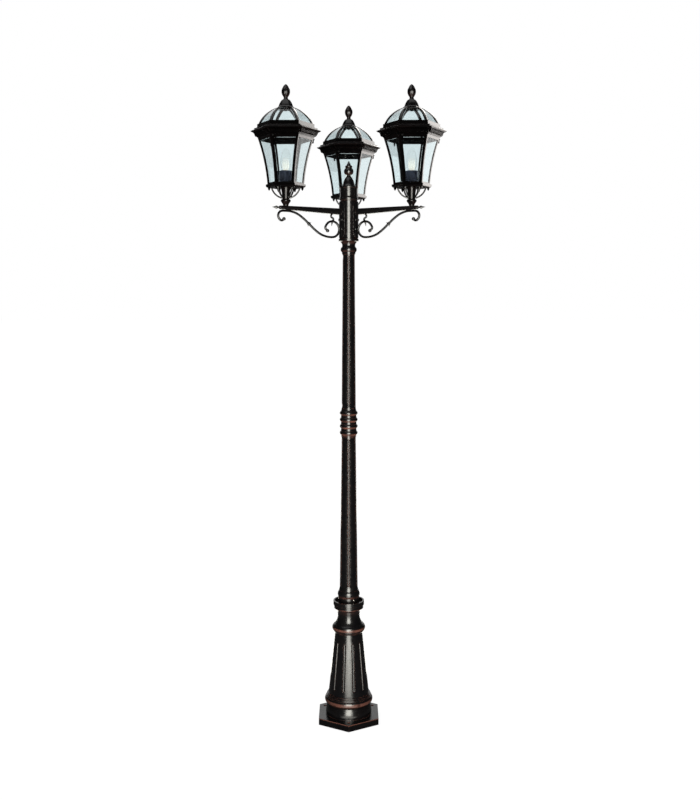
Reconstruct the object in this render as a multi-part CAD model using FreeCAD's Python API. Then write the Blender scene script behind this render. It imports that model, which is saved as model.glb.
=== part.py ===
import FreeCAD, Part
import math
import os

# Triple head lamp post: a cast pedestal, a two-part fluted column, a hub with three
# scrolled arms, and a six-sided glazed lantern at the end of each arm.
# Millimetres, +Z up, origin on the ground at the middle of the foot.

# ---------------------------------------------------------------- fits
FIT = 0.3                  # gap between a spigot, plug or screw and its bore
SEAT = 0.2                 # gap between a forged or curved piece and what it rests on
PART_GAP = 0.3             # gap between pieces that are taken apart in use
POINT_R = 0.4              # blunt end of every point and dome
OVERLAP = 1.0              # how far joined shapes run into each other

# ---------------------------------------------------------------- pedestal
FOOT_ACROSS = 206.0        # hexagonal foot, across its flats
FOOT_THICK = 22.0
FOOT_BORE_R = 64.0         # opening in the underside
ANCHOR_CIRCLE_R = 96.0
ANCHOR_HOLE_R = 6.0
ANCHOR_COUNT = 3
ANCHOR_AZIMUTH = 30.0
BULGE_R = 80.0             # rounded plinth on the foot
BULGE_H = 38.0
BULGE_WIDEST = 0.13        # where it is widest, as a share of its height
BULGE_FOOT_IN = 0.2        # how far the plinth draws in at its foot and head
BULGE_HEAD_IN = 10.0
TORUS_R = 83.2             # large ring over the plinth
TORUS_H = 22.0
TORUS_IN = 5.0
STEPS = 3                  # small steps over the ring
STEP_H = 5.5
STEP_IN = 3.5
FLUTED_FOOT_R = 69.6
FLUTED_HEAD_R = 47.6
FLUTED_H = 204.5
PEDESTAL_WALL = 8.0
BEAD_R = 57.7              # ring over the fluted cone
BEAD_H = 31.0
WAIST_R = 38.2
WAIST_END_R = 48.5
WAIST_H = 53.0
CUP_R = 50.9
CUP_H = 12.0
RIM_R = 53.8
RIM_H = 14.0
RIM_WALL = 5.0
CUP_DEPTH = 10.0
SOCKET_RISE = 12.0         # socket ring above the rim
SOCKET_WALL = 4.5
PEDESTAL_FLUTES = 12
FLUTE_R = 5.0
FLUTE_DEPTH = 3.0
FLUTE_FOOT_END = 20.0      # plain stretches below and above the flutes
FLUTE_HEAD_END = 34.0
SET_SCREW_R = 3.0
SET_SCREW_HEAD = 1.5
SET_SCREW_COUNT = 3
SET_SCREW_AZIMUTH = 300.0

# ---------------------------------------------------------------- cable joint
BRACKET_Z = 180.0          # underside of the bent bracket inside the pedestal
BRACKET_THICK = 3.0
BRACKET_BACK = 48.6        # back of its upright flange from the post's axis
BRACKET_EDGE = 4.0         # how far it runs past the block
FLANGE_W = 22.0
FLANGE_H = 20.0
BRACKET_SCREW_R = 2.0
BRACKET_SCREW_HEAD_R = 4.0
BRACKET_SCREW_HEAD_L = 2.4
BRACKET_SCREW_GRIP = 7.0   # how far the screw reaches past the flange
BRACKET_BOSS_R = 7.0       # boss on the casting's wall that the flange sits on
BLOCK_WIDTH = 40.0
BLOCK_DEPTH = 18.0
BLOCK_HEIGHT = 20.0
BLOCK_POLES = 3
BLOCK_WIRE_R = 2.6
BLOCK_SCREW_R = 2.4
BLOCK_BACK = 41.0          # back of the block from the post's axis

# ---------------------------------------------------------------- column
SPIGOT_R = 31.0            # foot of the column, in the pedestal's socket
SPIGOT_H = 48.0
COLUMN_BEAD_R = 38.5
COLUMN_BEAD_H = 24.0
COLUMN_NECK_OUT = 2.5      # how far the neck over the bead stands out at its foot
COLUMN_NECK_H = 12.0
LOWER_FOOT_R = 31.3
LOWER_HEAD_R = 24.6
LOWER_H = 523.0
COLUMN_BORE_R = 16.0
NIPPLE_WALL = 3.7
NIPPLE_GRIP = 50.0         # length of the nipple in each column
COLLAR_R = 31.3            # ring radius of the joint collar
COLLAR_NECK_R = 27.7
COLLAR_RING_H = 14.0
COLLAR_NECK_H = 9.0
COLLAR_RINGS = 4
COLLAR_END_H = 9.0
COLLAR_FOOT_OUT = 1.0      # how far the collar stands out from the column, at its foot
COLLAR_FOOT_SWELL = 1.5
COLLAR_HEAD_OUT = 0.6      # and at its head
COLLAR_HEAD_SWELL = 1.2
COLLAR_NECK_HOLLOW = 0.8   # depth of the hollows between the rings
UPPER_FOOT_R = 24.6
UPPER_HEAD_R = 21.5
UPPER_H = 540.0
UPPER_SPIGOT_R = 19.4
UPPER_SPIGOT_H = 40.0
COLUMN_FLUTES = 6
COLUMN_FLUTE_R = 3.6
COLUMN_FLUTE_DEPTH = 2.0
COLUMN_FLUTE_END = 8.0

# ---------------------------------------------------------------- hub and cap
HUB_FOOT_R = 23.2
HUB_FOOT_HEAD_R = 24.2
HUB_COVE_R = 25.7          # the hollow under the shelf, seven tenths of the way up
HUB_FOOT_H = 8.0
HUB_RING_R = 28.6
HUB_RING_H = 18.0
HUB_COVE_H = 20.0
HUB_SHELF_R = 35.2
HUB_SHELF_H = 8.0
HUB_CORE_R = 29.6
HUB_CORE_H = 134.0
HUB_BORE_R = 18.0
CAP_SPIGOT_R = 25.0
CAP_SPIGOT_H = 14.0
CAP_RING_R = 32.2
CAP_RING_H = 15.0
CAP_R = 30.4
CAP_H = 29.0
CAP_FLANGE_R = 33.2
CAP_FLANGE_H = 5.0
CAP_ROOF_R = 29.0
CAP_ROOF_H = 37.0
CAP_BELL_R = 20.5          # where the hollow skirt of the roof turns into its bell
CAP_SKIRT_H = 9.0
CAP_NECK_R = 7.4
CAP_HOLLOW = 1.5           # sag of the roof's skirt, and swell of its bell
CAP_SWELL = 2.5
BALL_R = 17.0
BALL_FOOT_R = 6.8
BALL_HEAD_R = 8.6
BALL_H = 26.0
BALL_NECK_H = 4.0
TIP_RING_R = 12.8
TIP_RING_IN = 2.0
TIP_RING_H = 7.0
TIP_CONE_R = 8.6
TIP_CONE_H = 17.0
STUD_R = 3.0
STUD_L = 12.0

# ---------------------------------------------------------------- arms
ARM_AZIMUTHS = {"left": 210.0, "right": 330.0, "back": 90.0}
LANTERN_REACH = 246.0      # post axis to lantern axis
ARM_END = 20.0             # arm beyond the lantern axis
ARM_RISE = 105.0           # arm's level top over the hub's shelf
ARM_ROOT_H = 22.0
ARM_END_H = 12.0
ARM_ROOT_W = 18.0
ARM_END_W = 12.0
ARM_RIDGE = 2.0            # how far the ridge along each side stands out
ARM_WIREWAY_R = 3.5
SADDLE_THICK = 4.6
SADDLE_HALF_W = 19.0
SADDLE_H = 131.0
SADDLE_POINT = 16.0        # height of the curved end at top and bottom
BOLT_ANGLE = 14.0
BOLT_LOW = 34.0            # bolt heights over the hub's shelf
BOLT_STEP = 32.0
BOLT_R = 2.6
BOLT_HEAD_R = 4.6
BOLT_HEAD_H = 3.2
BOLT_DEPTH = 9.0
TIP_COLLAR_R = 5.6
TIP_COLLAR_L = 5.0
TIP_COLLAR_SWELL = 0.6
TIP_NECK_R = 2.8
TIP_NECK_L = 4.0
SPEAR_R = 5.4
SPEAR_L = 22.0
TIP_STUD_R = 2.0
TIP_STUD_L = 8.0

# ---------------------------------------------------------------- scrolls
ROD_R = 4.0
ROD_BALL_R = 6.0
INNER_CURL_R = 27.5
INNER_CURL_Z = 32.0        # middle of the inner curl over the hub's shelf
OUTER_CURL_R = 16.5
OUTER_CURL_OUT = 12.0      # middle of the outer curl beyond the lantern axis
COLLAR_AT = 0.49           # share of the S at which the little collar sits
SLEEVE_R = 5.6
SLEEVE_L = 7.0
THORN_R = 2.2
THORN_L = 11.0
DROP_R = 3.3
DROP_SWAY = 4.6
LEAF_R = 4.2
LEAF_L = 17.0

# ---------------------------------------------------------------- lantern stem
STEM_FOOT_R = 9.0
STEM_FOOT_SWELL = 2.0
STEM_HOLLOW = 1.0          # how far the stem is hollowed between neck and head
STEM_FOOT_H = 13.0
KNOP_R = 17.0
KNOP_IN = 1.5
KNOP_H = 10.0
STEM_NECK_R = 12.0
STEM_HEAD_R = 17.0
STEM_H = 38.0
STEM_SPIGOT_R = 6.0
STEM_SPIGOT_H = 8.0
STRAP_R = 2.7
STRAP_OUT = 46.0           # where a strap meets the floor ring
STRAP_SAG = 0.42           # share of the strap's height at its middle
STRAP_BOW = 3.0            # how far it bows outwards at its middle
STRAP_RUN_ON = 2.0         # extra length that is trimmed off at each end
STRAP_CLEAR = 2.6          # flare of the trim round the stem's neck
SIDES = 6

# ---------------------------------------------------------------- lantern cage
FLOOR_R = 67.7             # corner radius of the floor ring
FLOOR_FOOT_R = 60.0
FLOOR_SWELL_IN = 1.5
FLOOR_H = 11.0
PENDANT_R = 4.6
PENDANT_H = 10.0
CAGE_FOOT_R = 62.0
CAGE_WAIST_R = 73.6
CAGE_HEAD_R = 95.5
CAGE_H = 158.7
CAGE_DEPTH = 5.0           # how deep the bars are
BAR_W = 11.0
SILL_H = 5.0
HEAD_RAIL_H = 10.0
PANE_THICK = 3.0
PANE_IN = 1.2              # pane face behind the bar's face
PANE_GAP = 0.2

# ---------------------------------------------------------------- lantern roof
CORNICE_FOOT_R = 97.5
CORNICE_FOOT_H = 3.0
CORNICE_COVE_R = 103.0
CORNICE_COVE_H = 15.0
CORNICE_DRIP_R = 115.0
CORNICE_TIP_R = 120.5
CORNICE_TIP_H = 4.0
CORNICE_SLOPE_H = 6.0
CORNICE_STEP_R = 107.5
CORNICE_STEP_H = 3.0
CORNICE_FASCIA_R = 97.0
CORNICE_FASCIA_H = 14.0
DOME_R = 101.2             # radius of the dome's corner ribs
DOME_RISE = 57.0
DOME_BELOW = 40.2          # centre of the ribs' circle below the fascia's top
DOME_BEND = 0.62           # share of the rise at which the vault's arc is set
DOME_DEPTH = 5.0
RIB_W = 11.0
CROWN_THICK = 4.0
CROWN_IN = 0.5             # how far the crown stands in from the ribs' backs
TAB_W = 7.0
TAB_THICK = 3.0
TAB_DROP = 18.0
TAB_ASIDE = 2.0            # from the cage's bar to the tab
TAB_ROOT = 2.0             # how far the tab runs up inside the cornice
TAB_SCREW_DROP = 5.0       # roof screws below the roof's foot
TAB_AZIMUTH = 60.0         # first tab, from the arm's direction
ROOF_SCREW_R = 1.6
ROOF_SCREW_HEAD_R = 3.0
ROOF_SCREW_HEAD_L = 3.0
ROOF_SCREWS = 3
CROWN_CAP_R = 28.5
CROWN_CAP_SKIRT = 4.0
CROWN_CAP_SHOULDER_R = 24.5
CROWN_CAP_SWELL = 1.6
CROWN_CAP_H = 26.0
CROWN_CAP_TOP_R = 13.0
BUD_FLANGE_R = 9.5
BUD_FLANGE_H = 3.0
BUD_FLANGE_SWELL = 0.8
BUD_NECK_R = 6.2
BUD_NECK_H = 6.0
BUD_R = 14.6
BUD_H = 44.0
PETAL_GROOVE = 1.6         # width and depth of the grooves between the bud's petals
PETAL_DEPTH = 1.2

# ---------------------------------------------------------------- lampholder and bulb
HOLDER_R = 23.0
HOLDER_H = 46.0
HOLDER_CHAMFER = 1.5
BULB_CAP_R = 13.0
BULB_CAP_H = 24.0
BULB_CAP_POINT = 3.0       # slant at the cap's foot
BULB_R = 17.6
BULB_H = 77.0

V = FreeCAD.Vector
ORIGIN = V(0, 0, 0)
UP = V(0, 0, 1)
FLAT = math.cos(math.radians(30))      # flat distance over corner radius of a hexagon
TINY = 1e-6
STRAIGHT = 1e-4


# ================================================================ helpers
class Outline:
    """Half outline drawn upwards; x is the distance from the axis, z the height."""

    def __init__(self, x, z, share=1.0):
        self.share = share
        self.start = V(x * share, 0, z)
        self.end = self.start
        self.edges = []

    def line(self, x, rise=0.0):
        point = V(x * self.share, 0, self.end.z + rise)
        if point.distanceToPoint(self.end) > TINY:
            self.edges.append(Part.makeLine(self.end, point))
            self.end = point
        return self

    def arc(self, through, x, rise, at=0.5):
        middle = V(through * self.share, 0, self.end.z + rise * at)
        point = V(x * self.share, 0, self.end.z + rise)
        self.edges.append(Part.Arc(self.end, middle, point).toShape())
        self.end = point
        return self

    def turned(self):
        """The outline spun round the Z axis."""
        foot = V(0, 0, self.start.z)
        head = V(0, 0, self.end.z)
        edges = list(self.edges)
        if self.start.x > TINY:
            edges.insert(0, Part.makeLine(foot, self.start))
        if self.end.x > TINY:
            edges.append(Part.makeLine(self.end, head))
        edges.append(Part.makeLine(head, foot))
        return Part.Face(Part.Wire(edges)).revolve(ORIGIN, UP, 360)

    def six_sided(self):
        """The outline run round a hexagon with flats facing +X and -X."""
        across = V(1, 0, 0)
        other = [edge.mirror(ORIGIN, across) for edge in self.edges]
        foot = Part.makeLine(V(-self.start.x, 0, self.start.z), self.start)
        head = Part.makeLine(self.end, V(-self.end.x, 0, self.end.z))
        loop = Part.sortEdges([foot, head] + self.edges + other)[0]
        face = Part.Face(Part.Wire(loop))
        half = 2 * face.BoundBox.XMax
        bar = face.extrude(V(0, 2 * half, 0))
        bar.translate(V(0, -half, 0))
        solid = bar
        for angle in (60, 120):
            solid = solid.common(turn(bar, angle))
        return solid


def turn(shape, angle):
    """Copy of a shape turned about the Z axis."""
    copy = shape.copy()
    copy.rotate(ORIGIN, UP, angle)
    return copy


def moved(shape, x=0.0, y=0.0, z=0.0):
    copy = shape.copy()
    copy.translate(V(x, y, z))
    return copy


def ring_of(shape, count, start=0.0):
    """Copies of a shape at even angles round the Z axis."""
    return [turn(shape, start + 360.0 * i / count) for i in range(count)]


def rod(start, end, radius):
    return Part.makeCylinder(radius, start.distanceToPoint(end), start, end - start)


def box(x0, x1, y0, y1, z0, z1):
    return Part.makeBox(x1 - x0, y1 - y0, z1 - z0, V(x0, y0, z0))


def fused(first, *others):
    return first.multiFuse(list(others)).removeSplitter()


def slot_cutter(foot, head, radius):
    """Round-ended cutter for one flute, from foot to head."""
    ends = [Part.makeSphere(radius, foot), Part.makeSphere(radius, head)]
    return rod(foot, head, radius).multiFuse(ends)


def fluted(solid, foot, head, radius, depth, count, start):
    """Cut round-bottomed flutes; foot and head are on the solid's surface."""
    out = V(radius - depth, 0, 0)
    cutter = slot_cutter(foot + out, head + out, radius)
    return solid.cut(Part.makeCompound(ring_of(cutter, count, start)))


def along(foot, head, share):
    return foot + (head - foot) * share


def polar(centre, radius, angle):
    a = math.radians(angle)
    return centre + V(radius * math.cos(a), 0, radius * math.sin(a))


def arc_from(start, heading, end):
    """Arc that leaves start along heading and reaches end; a line where it hardly bends."""
    chord = end - start
    side = heading - chord * (heading.dot(chord) / chord.dot(chord))
    if side.Length < STRAIGHT:
        return Part.makeLine(start, end)
    angle = heading.getAngle(chord)
    middle = (start + end) * 0.5 + side.normalize() * (0.5 * chord.Length * math.tan(angle / 2))
    return Part.Arc(start, middle, end).toShape()


def biarc(start, heading, end, arrival):
    """Two arcs that meet smoothly, leaving start and reaching end along given headings."""
    chord = end - start
    both = heading + arrival
    spread = 2 * (1 - heading.dot(arrival))
    reach = chord.dot(both)
    if spread < STRAIGHT:
        arm = chord.dot(chord) / (2 * reach)
    else:
        arm = (math.sqrt(reach ** 2 + spread * chord.dot(chord)) - reach) / spread
    meet = (start + end) * 0.5 + (heading - arrival) * (arm * 0.5)
    return [arc_from(start, heading, meet), arc_from(end, arrival * -1, meet)]


def pipe(points, radius):
    """Round rod along smoothly joined arcs through points."""
    headings = [points[1] - points[0]]
    headings += [points[i + 1] - points[i - 1] for i in range(1, len(points) - 1)]
    headings.append(points[-1] - points[-2])
    headings = [heading.normalize() for heading in headings]
    edges = []
    for i in range(len(points) - 1):
        edges += biarc(points[i], headings[i], points[i + 1], headings[i + 1])
    path = Part.Wire(Part.sortEdges(edges)[0])
    section = Part.Wire(Part.makeCircle(radius, points[0], headings[0]))
    return path.makePipeShell([section], True, True)


# ================================================================ heights worked out
SOCKET_R = SPIGOT_R + FIT + SOCKET_WALL
BULGE_TOP = FOOT_THICK + BULGE_H
STEPS_TOP = BULGE_TOP + TORUS_H + STEPS * STEP_H
FLUTED_TOP = STEPS_TOP + FLUTED_H
WAIST_Z = FLUTED_TOP + BEAD_H
CUP_Z = WAIST_Z + WAIST_H
RIM_TOP = CUP_Z + CUP_H + RIM_H
SOCKET_TOP = RIM_TOP + SOCKET_RISE
LOWER_Z = SOCKET_TOP + COLUMN_BEAD_H + COLUMN_NECK_H
COLLAR_Z = LOWER_Z + LOWER_H
COLLAR_H = 2 * COLLAR_END_H + COLLAR_RINGS * COLLAR_RING_H + (COLLAR_RINGS - 1) * COLLAR_NECK_H
UPPER_Z = COLLAR_Z + COLLAR_H
HUB_Z = UPPER_Z + UPPER_H
SHELF_TOP = HUB_Z + HUB_FOOT_H + HUB_RING_H + HUB_COVE_H + HUB_SHELF_H
HUB_TOP = SHELF_TOP + HUB_CORE_H
CAP_TOP = HUB_TOP + CAP_RING_H + CAP_H + CAP_FLANGE_H + CAP_ROOF_H
ARM_TOP = SHELF_TOP + ARM_RISE
SADDLE_R = HUB_CORE_R + FIT + SADDLE_THICK
FLOOR_Z = ARM_TOP + STEM_FOOT_H + KNOP_H + STEM_H
CAGE_Z = FLOOR_Z + FLOOR_H
ROOF_Z = CAGE_Z + CAGE_H + PART_GAP
FASCIA_TOP = (ROOF_Z + CORNICE_FOOT_H + CORNICE_COVE_H + CORNICE_TIP_H
              + CORNICE_SLOPE_H + CORNICE_STEP_H + CORNICE_FASCIA_H)
CROWN_Z = FASCIA_TOP + DOME_RISE
CROWN_CAP_TOP = CROWN_Z + CROWN_CAP_H


# ================================================================ pedestal
def pedestal_outside():
    outline = Outline(BULGE_R - BULGE_FOOT_IN, FOOT_THICK - OVERLAP)
    outline.line(BULGE_R - BULGE_FOOT_IN, OVERLAP)
    outline.arc(BULGE_R, BULGE_R - BULGE_HEAD_IN, BULGE_H, at=BULGE_WIDEST)
    outline.line(TORUS_R - TORUS_IN)
    outline.arc(TORUS_R, TORUS_R - TORUS_IN, TORUS_H)
    for i in range(STEPS):
        radius = FLUTED_FOOT_R + (STEPS - 1 - i) * STEP_IN
        outline.line(radius)
        outline.line(radius, STEP_H)
    outline.line(FLUTED_HEAD_R, FLUTED_H)
    outline.arc(BEAD_R, WAIST_END_R, BEAD_H)
    outline.arc(WAIST_R, WAIST_END_R, WAIST_H)
    outline.line(CUP_R)
    outline.line(CUP_R, CUP_H)
    outline.line(RIM_R)
    outline.line(RIM_R, RIM_H)
    return outline.turned()


def pedestal_inside():
    neck_r = SPIGOT_R + FIT
    outline = Outline(FOOT_BORE_R, 0)
    outline.line(FOOT_BORE_R, BULGE_TOP)
    outline.line(FLUTED_FOOT_R - PEDESTAL_WALL, STEPS_TOP - BULGE_TOP)
    outline.line(FLUTED_HEAD_R - PEDESTAL_WALL, FLUTED_H)
    outline.line(neck_r, WAIST_Z - FLUTED_TOP)
    outline.line(neck_r, SOCKET_TOP - WAIST_Z)
    return outline.turned()


def pedestal_casting():
    plate = Outline(FOOT_ACROSS / 2, 0).line(FOOT_ACROSS / 2, FOOT_THICK).six_sided()
    body = pedestal_outside()
    foot = V(FLUTED_FOOT_R, 0, STEPS_TOP)
    head = V(FLUTED_HEAD_R, 0, FLUTED_TOP)
    low = along(foot, head, FLUTE_FOOT_END / FLUTED_H)
    high = along(foot, head, 1 - FLUTE_HEAD_END / FLUTED_H)
    step = 360.0 / PEDESTAL_FLUTES
    body = fluted(body, low, high, FLUTE_R, FLUTE_DEPTH, PEDESTAL_FLUTES, step / 2)
    cup_floor = RIM_TOP - CUP_DEPTH
    cup = Part.makeCylinder(RIM_R - RIM_WALL, SOCKET_TOP - cup_floor, V(0, 0, cup_floor))
    ring_foot = V(0, 0, cup_floor - OVERLAP)
    ring = Part.makeCylinder(SOCKET_R, SOCKET_TOP - ring_foot.z, ring_foot)
    body = body.cut(cup)
    body = fused(body, ring, plate)
    body = body.cut(pedestal_inside())
    boss = bracket_screw_line(BRACKET_BACK + SEAT, bracket_screw_end(), BRACKET_BOSS_R)
    body = fused(body, boss)
    hole = Part.makeCylinder(ANCHOR_HOLE_R, FOOT_THICK + 2 * OVERLAP,
                             V(ANCHOR_CIRCLE_R, 0, -OVERLAP))
    holes = ring_of(hole, ANCHOR_COUNT, ANCHOR_AZIMUTH)
    screw_z = SOCKET_TOP - SOCKET_RISE / 2
    screw = rod(V(0, 0, screw_z), V(SOCKET_R + OVERLAP, 0, screw_z), SET_SCREW_R + SEAT)
    screws = ring_of(screw, SET_SCREW_COUNT, SET_SCREW_AZIMUTH)
    tapped = bracket_screw_line(BRACKET_BACK, bracket_screw_end() + SEAT, BRACKET_SCREW_R + SEAT)
    return body.cut(Part.makeCompound(holes + screws + [tapped]))


def pedestal_set_screws():
    z = SOCKET_TOP - SOCKET_RISE / 2
    screw = rod(V(SPIGOT_R + SEAT, 0, z), V(SOCKET_R + SET_SCREW_HEAD, 0, z), SET_SCREW_R)
    return Part.makeCompound(ring_of(screw, SET_SCREW_COUNT, SET_SCREW_AZIMUTH))


def bracket_screw_line(y0, y1, radius):
    """Round rod along the bracket screw's axis."""
    z = BRACKET_Z + BRACKET_THICK + FLANGE_H / 2
    return rod(V(0, y0, z), V(0, y1, z), radius)


def bracket_screw_end():
    """How far out the screw reaches, inside the casting's wall."""
    return BRACKET_BACK + BRACKET_SCREW_GRIP


def terminal_bracket():
    half = BLOCK_WIDTH / 2 + BRACKET_EDGE
    front = BLOCK_BACK - BLOCK_DEPTH - BRACKET_EDGE
    inner = BRACKET_BACK - BRACKET_THICK
    head_z = BRACKET_Z + BRACKET_THICK + FLANGE_H
    plate = box(-half, half, front, inner, BRACKET_Z, BRACKET_Z + BRACKET_THICK)
    plate = plate.common(Part.makeCylinder(BRACKET_BACK, BRACKET_THICK, V(0, 0, BRACKET_Z)))
    flange = box(-FLANGE_W / 2, FLANGE_W / 2, inner, BRACKET_BACK, BRACKET_Z, head_z)
    hole = bracket_screw_line(inner - OVERLAP, BRACKET_BACK + OVERLAP, BRACKET_SCREW_R + SEAT)
    return fused(plate, flange).cut(hole)


def bracket_screw():
    inner = BRACKET_BACK - BRACKET_THICK - SEAT
    shank = bracket_screw_line(inner, bracket_screw_end(), BRACKET_SCREW_R)
    head = bracket_screw_line(inner - BRACKET_SCREW_HEAD_L, inner, BRACKET_SCREW_HEAD_R)
    return fused(shank, head)


def terminal_block():
    z = BRACKET_Z + BRACKET_THICK
    front = BLOCK_BACK - BLOCK_DEPTH
    block = box(-BLOCK_WIDTH / 2, BLOCK_WIDTH / 2, front, BLOCK_BACK, z, z + BLOCK_HEIGHT)
    pitch = BLOCK_WIDTH / BLOCK_POLES
    middle = z + BLOCK_HEIGHT / 2
    cuts = []
    for i in range(BLOCK_POLES):
        x = (i + 0.5) * pitch - BLOCK_WIDTH / 2
        wire_foot = V(x, front - OVERLAP, middle)
        cuts.append(rod(wire_foot, V(x, BLOCK_BACK + OVERLAP, middle), BLOCK_WIRE_R))
        well = V(x, (front + BLOCK_BACK) / 2, middle)
        cuts.append(rod(well, V(x, well.y, z + BLOCK_HEIGHT + OVERLAP), BLOCK_SCREW_R))
    return block.cut(Part.makeCompound(cuts))


# ================================================================ column
def column_flutes(solid, foot_r, head_r, z, height):
    foot = V(foot_r, 0, z)
    head = V(head_r, 0, z + height)
    low = along(foot, head, COLUMN_FLUTE_END / height)
    high = along(foot, head, 1 - COLUMN_FLUTE_END / height)
    half_step = 180.0 / COLUMN_FLUTES
    return fluted(solid, low, high, COLUMN_FLUTE_R, COLUMN_FLUTE_DEPTH, COLUMN_FLUTES, half_step)


def lower_column():
    outline = Outline(SPIGOT_R, SOCKET_TOP - SPIGOT_H).line(SPIGOT_R, SPIGOT_H)
    outline.line(SOCKET_R)
    outline.arc(COLUMN_BEAD_R, LOWER_FOOT_R + COLUMN_NECK_OUT, COLUMN_BEAD_H, at=0.55)
    outline.line(LOWER_FOOT_R, COLUMN_NECK_H)
    outline.line(LOWER_HEAD_R, LOWER_H)
    column = column_flutes(outline.turned(), LOWER_FOOT_R, LOWER_HEAD_R, LOWER_Z, LOWER_H)
    bore = Part.makeCylinder(COLUMN_BORE_R, COLLAR_Z - SOCKET_TOP + SPIGOT_H,
                             V(0, 0, SOCKET_TOP - SPIGOT_H))
    return column.cut(bore)


def column_nipple():
    radius = COLUMN_BORE_R - FIT
    height = COLLAR_H + 2 * NIPPLE_GRIP
    foot = V(0, 0, COLLAR_Z - NIPPLE_GRIP)
    return Part.makeCylinder(radius, height, foot).cut(
        Part.makeCylinder(radius - NIPPLE_WALL, height, foot))


def joint_collar():
    outline = Outline(LOWER_HEAD_R + COLLAR_FOOT_OUT, COLLAR_Z)
    outline.arc(LOWER_HEAD_R + COLLAR_FOOT_SWELL, COLLAR_NECK_R, COLLAR_END_H)
    for i in range(COLLAR_RINGS):
        if i > 0:
            outline.arc(COLLAR_NECK_R - COLLAR_NECK_HOLLOW, COLLAR_NECK_R, COLLAR_NECK_H)
        outline.arc(COLLAR_R, COLLAR_NECK_R, COLLAR_RING_H)
    outline.arc(UPPER_FOOT_R + COLLAR_HEAD_SWELL, UPPER_FOOT_R + COLLAR_HEAD_OUT, COLLAR_END_H)
    return outline.turned().cut(Part.makeCylinder(COLUMN_BORE_R, COLLAR_H, V(0, 0, COLLAR_Z)))


def upper_column():
    outline = Outline(UPPER_FOOT_R, UPPER_Z).line(UPPER_HEAD_R, UPPER_H)
    outline.line(UPPER_SPIGOT_R)
    outline.line(UPPER_SPIGOT_R, UPPER_SPIGOT_H)
    column = column_flutes(outline.turned(), UPPER_FOOT_R, UPPER_HEAD_R, UPPER_Z, UPPER_H)
    bore = Part.makeCylinder(COLUMN_BORE_R, UPPER_H + UPPER_SPIGOT_H, V(0, 0, UPPER_Z))
    return column.cut(bore)


# ================================================================ hub, cap and finial
def bolt_places():
    """Height and side angle of the four bolts in each saddle."""
    heights = [SHELF_TOP + BOLT_LOW, SHELF_TOP + BOLT_LOW + BOLT_STEP]
    return [(z, side * BOLT_ANGLE) for z in heights for side in (-1, 1)]


def hub():
    outline = Outline(HUB_FOOT_R, HUB_Z).line(HUB_FOOT_HEAD_R, HUB_FOOT_H)
    outline.arc(HUB_RING_R, HUB_FOOT_HEAD_R, HUB_RING_H)
    outline.arc(HUB_COVE_R, HUB_SHELF_R, HUB_COVE_H, at=0.7)
    outline.line(HUB_SHELF_R, HUB_SHELF_H)
    outline.line(HUB_CORE_R)
    outline.line(HUB_CORE_R, HUB_CORE_H)
    outline.line(CAP_SPIGOT_R)
    outline.line(CAP_SPIGOT_R, CAP_SPIGOT_H)
    socket = Part.makeCylinder(UPPER_SPIGOT_R + FIT, UPPER_SPIGOT_H + FIT, V(0, 0, HUB_Z))
    bore = Part.makeCylinder(HUB_BORE_R, HUB_TOP + CAP_SPIGOT_H - HUB_Z, V(0, 0, HUB_Z))
    cuts = [socket, bore]
    wireway = rod(V(0, 0, wireway_z(0)), V(HUB_CORE_R + OVERLAP, 0, wireway_z(0)), ARM_WIREWAY_R)
    for azimuth in ARM_AZIMUTHS.values():
        cuts.append(turn(wireway, azimuth))
        for z, side in bolt_places():
            hole = rod(V(HUB_CORE_R - BOLT_DEPTH, 0, z), V(HUB_CORE_R + OVERLAP, 0, z), BOLT_R + SEAT)
            cuts.append(turn(hole, azimuth + side))
    return outline.turned().cut(Part.makeCompound(cuts))


def hub_cap():
    outline = Outline(CAP_R, HUB_TOP).arc(CAP_RING_R, CAP_R, CAP_RING_H)
    outline.line(CAP_R, CAP_H)
    outline.line(CAP_FLANGE_R)
    outline.line(CAP_FLANGE_R, CAP_FLANGE_H)
    outline.line(CAP_ROOF_R)
    outline.arc((CAP_ROOF_R + CAP_BELL_R) / 2 - CAP_HOLLOW, CAP_BELL_R, CAP_SKIRT_H)
    outline.arc((CAP_BELL_R + CAP_NECK_R) / 2 + CAP_SWELL, CAP_NECK_R, CAP_ROOF_H - CAP_SKIRT_H)
    socket = Part.makeCylinder(CAP_SPIGOT_R + FIT, CAP_SPIGOT_H + FIT, V(0, 0, HUB_TOP))
    stud = Part.makeCylinder(STUD_R + SEAT, STUD_L + FIT, V(0, 0, CAP_TOP - STUD_L - FIT))
    return outline.turned().cut(Part.makeCompound([socket, stud]))


def post_finial():
    outline = Outline(STUD_R, CAP_TOP - STUD_L).line(STUD_R, STUD_L)
    outline.line(CAP_NECK_R)
    outline.line(BALL_FOOT_R, BALL_NECK_H)
    outline.arc(BALL_R, BALL_HEAD_R, BALL_H)
    outline.line(TIP_RING_R - TIP_RING_IN)
    outline.arc(TIP_RING_R, TIP_RING_R - TIP_RING_IN, TIP_RING_H)
    outline.line(TIP_CONE_R)
    outline.arc(TIP_CONE_R * 0.58, POINT_R, TIP_CONE_H)
    return outline.turned()


# ================================================================ arms
def arm_height(x):
    """Height of the tapered arm at a distance from the post's axis."""
    length = LANTERN_REACH + ARM_END - HUB_CORE_R
    return ARM_ROOT_H + (ARM_END_H - ARM_ROOT_H) * (x - HUB_CORE_R) / length


def wireway_z(x):
    return ARM_TOP - arm_height(x) / 2


def arm_section(x, width):
    """Six-cornered section with a ridge along each side."""
    height = arm_height(x)
    half = width / 2
    corners = [(-half, 0), (half, 0), (half + ARM_RIDGE, -height / 2),
               (half, -height), (-half, -height), (-half - ARM_RIDGE, -height / 2)]
    points = [V(x, y, ARM_TOP + z) for y, z in corners]
    return Part.makePolygon(points + points[:1])


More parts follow.
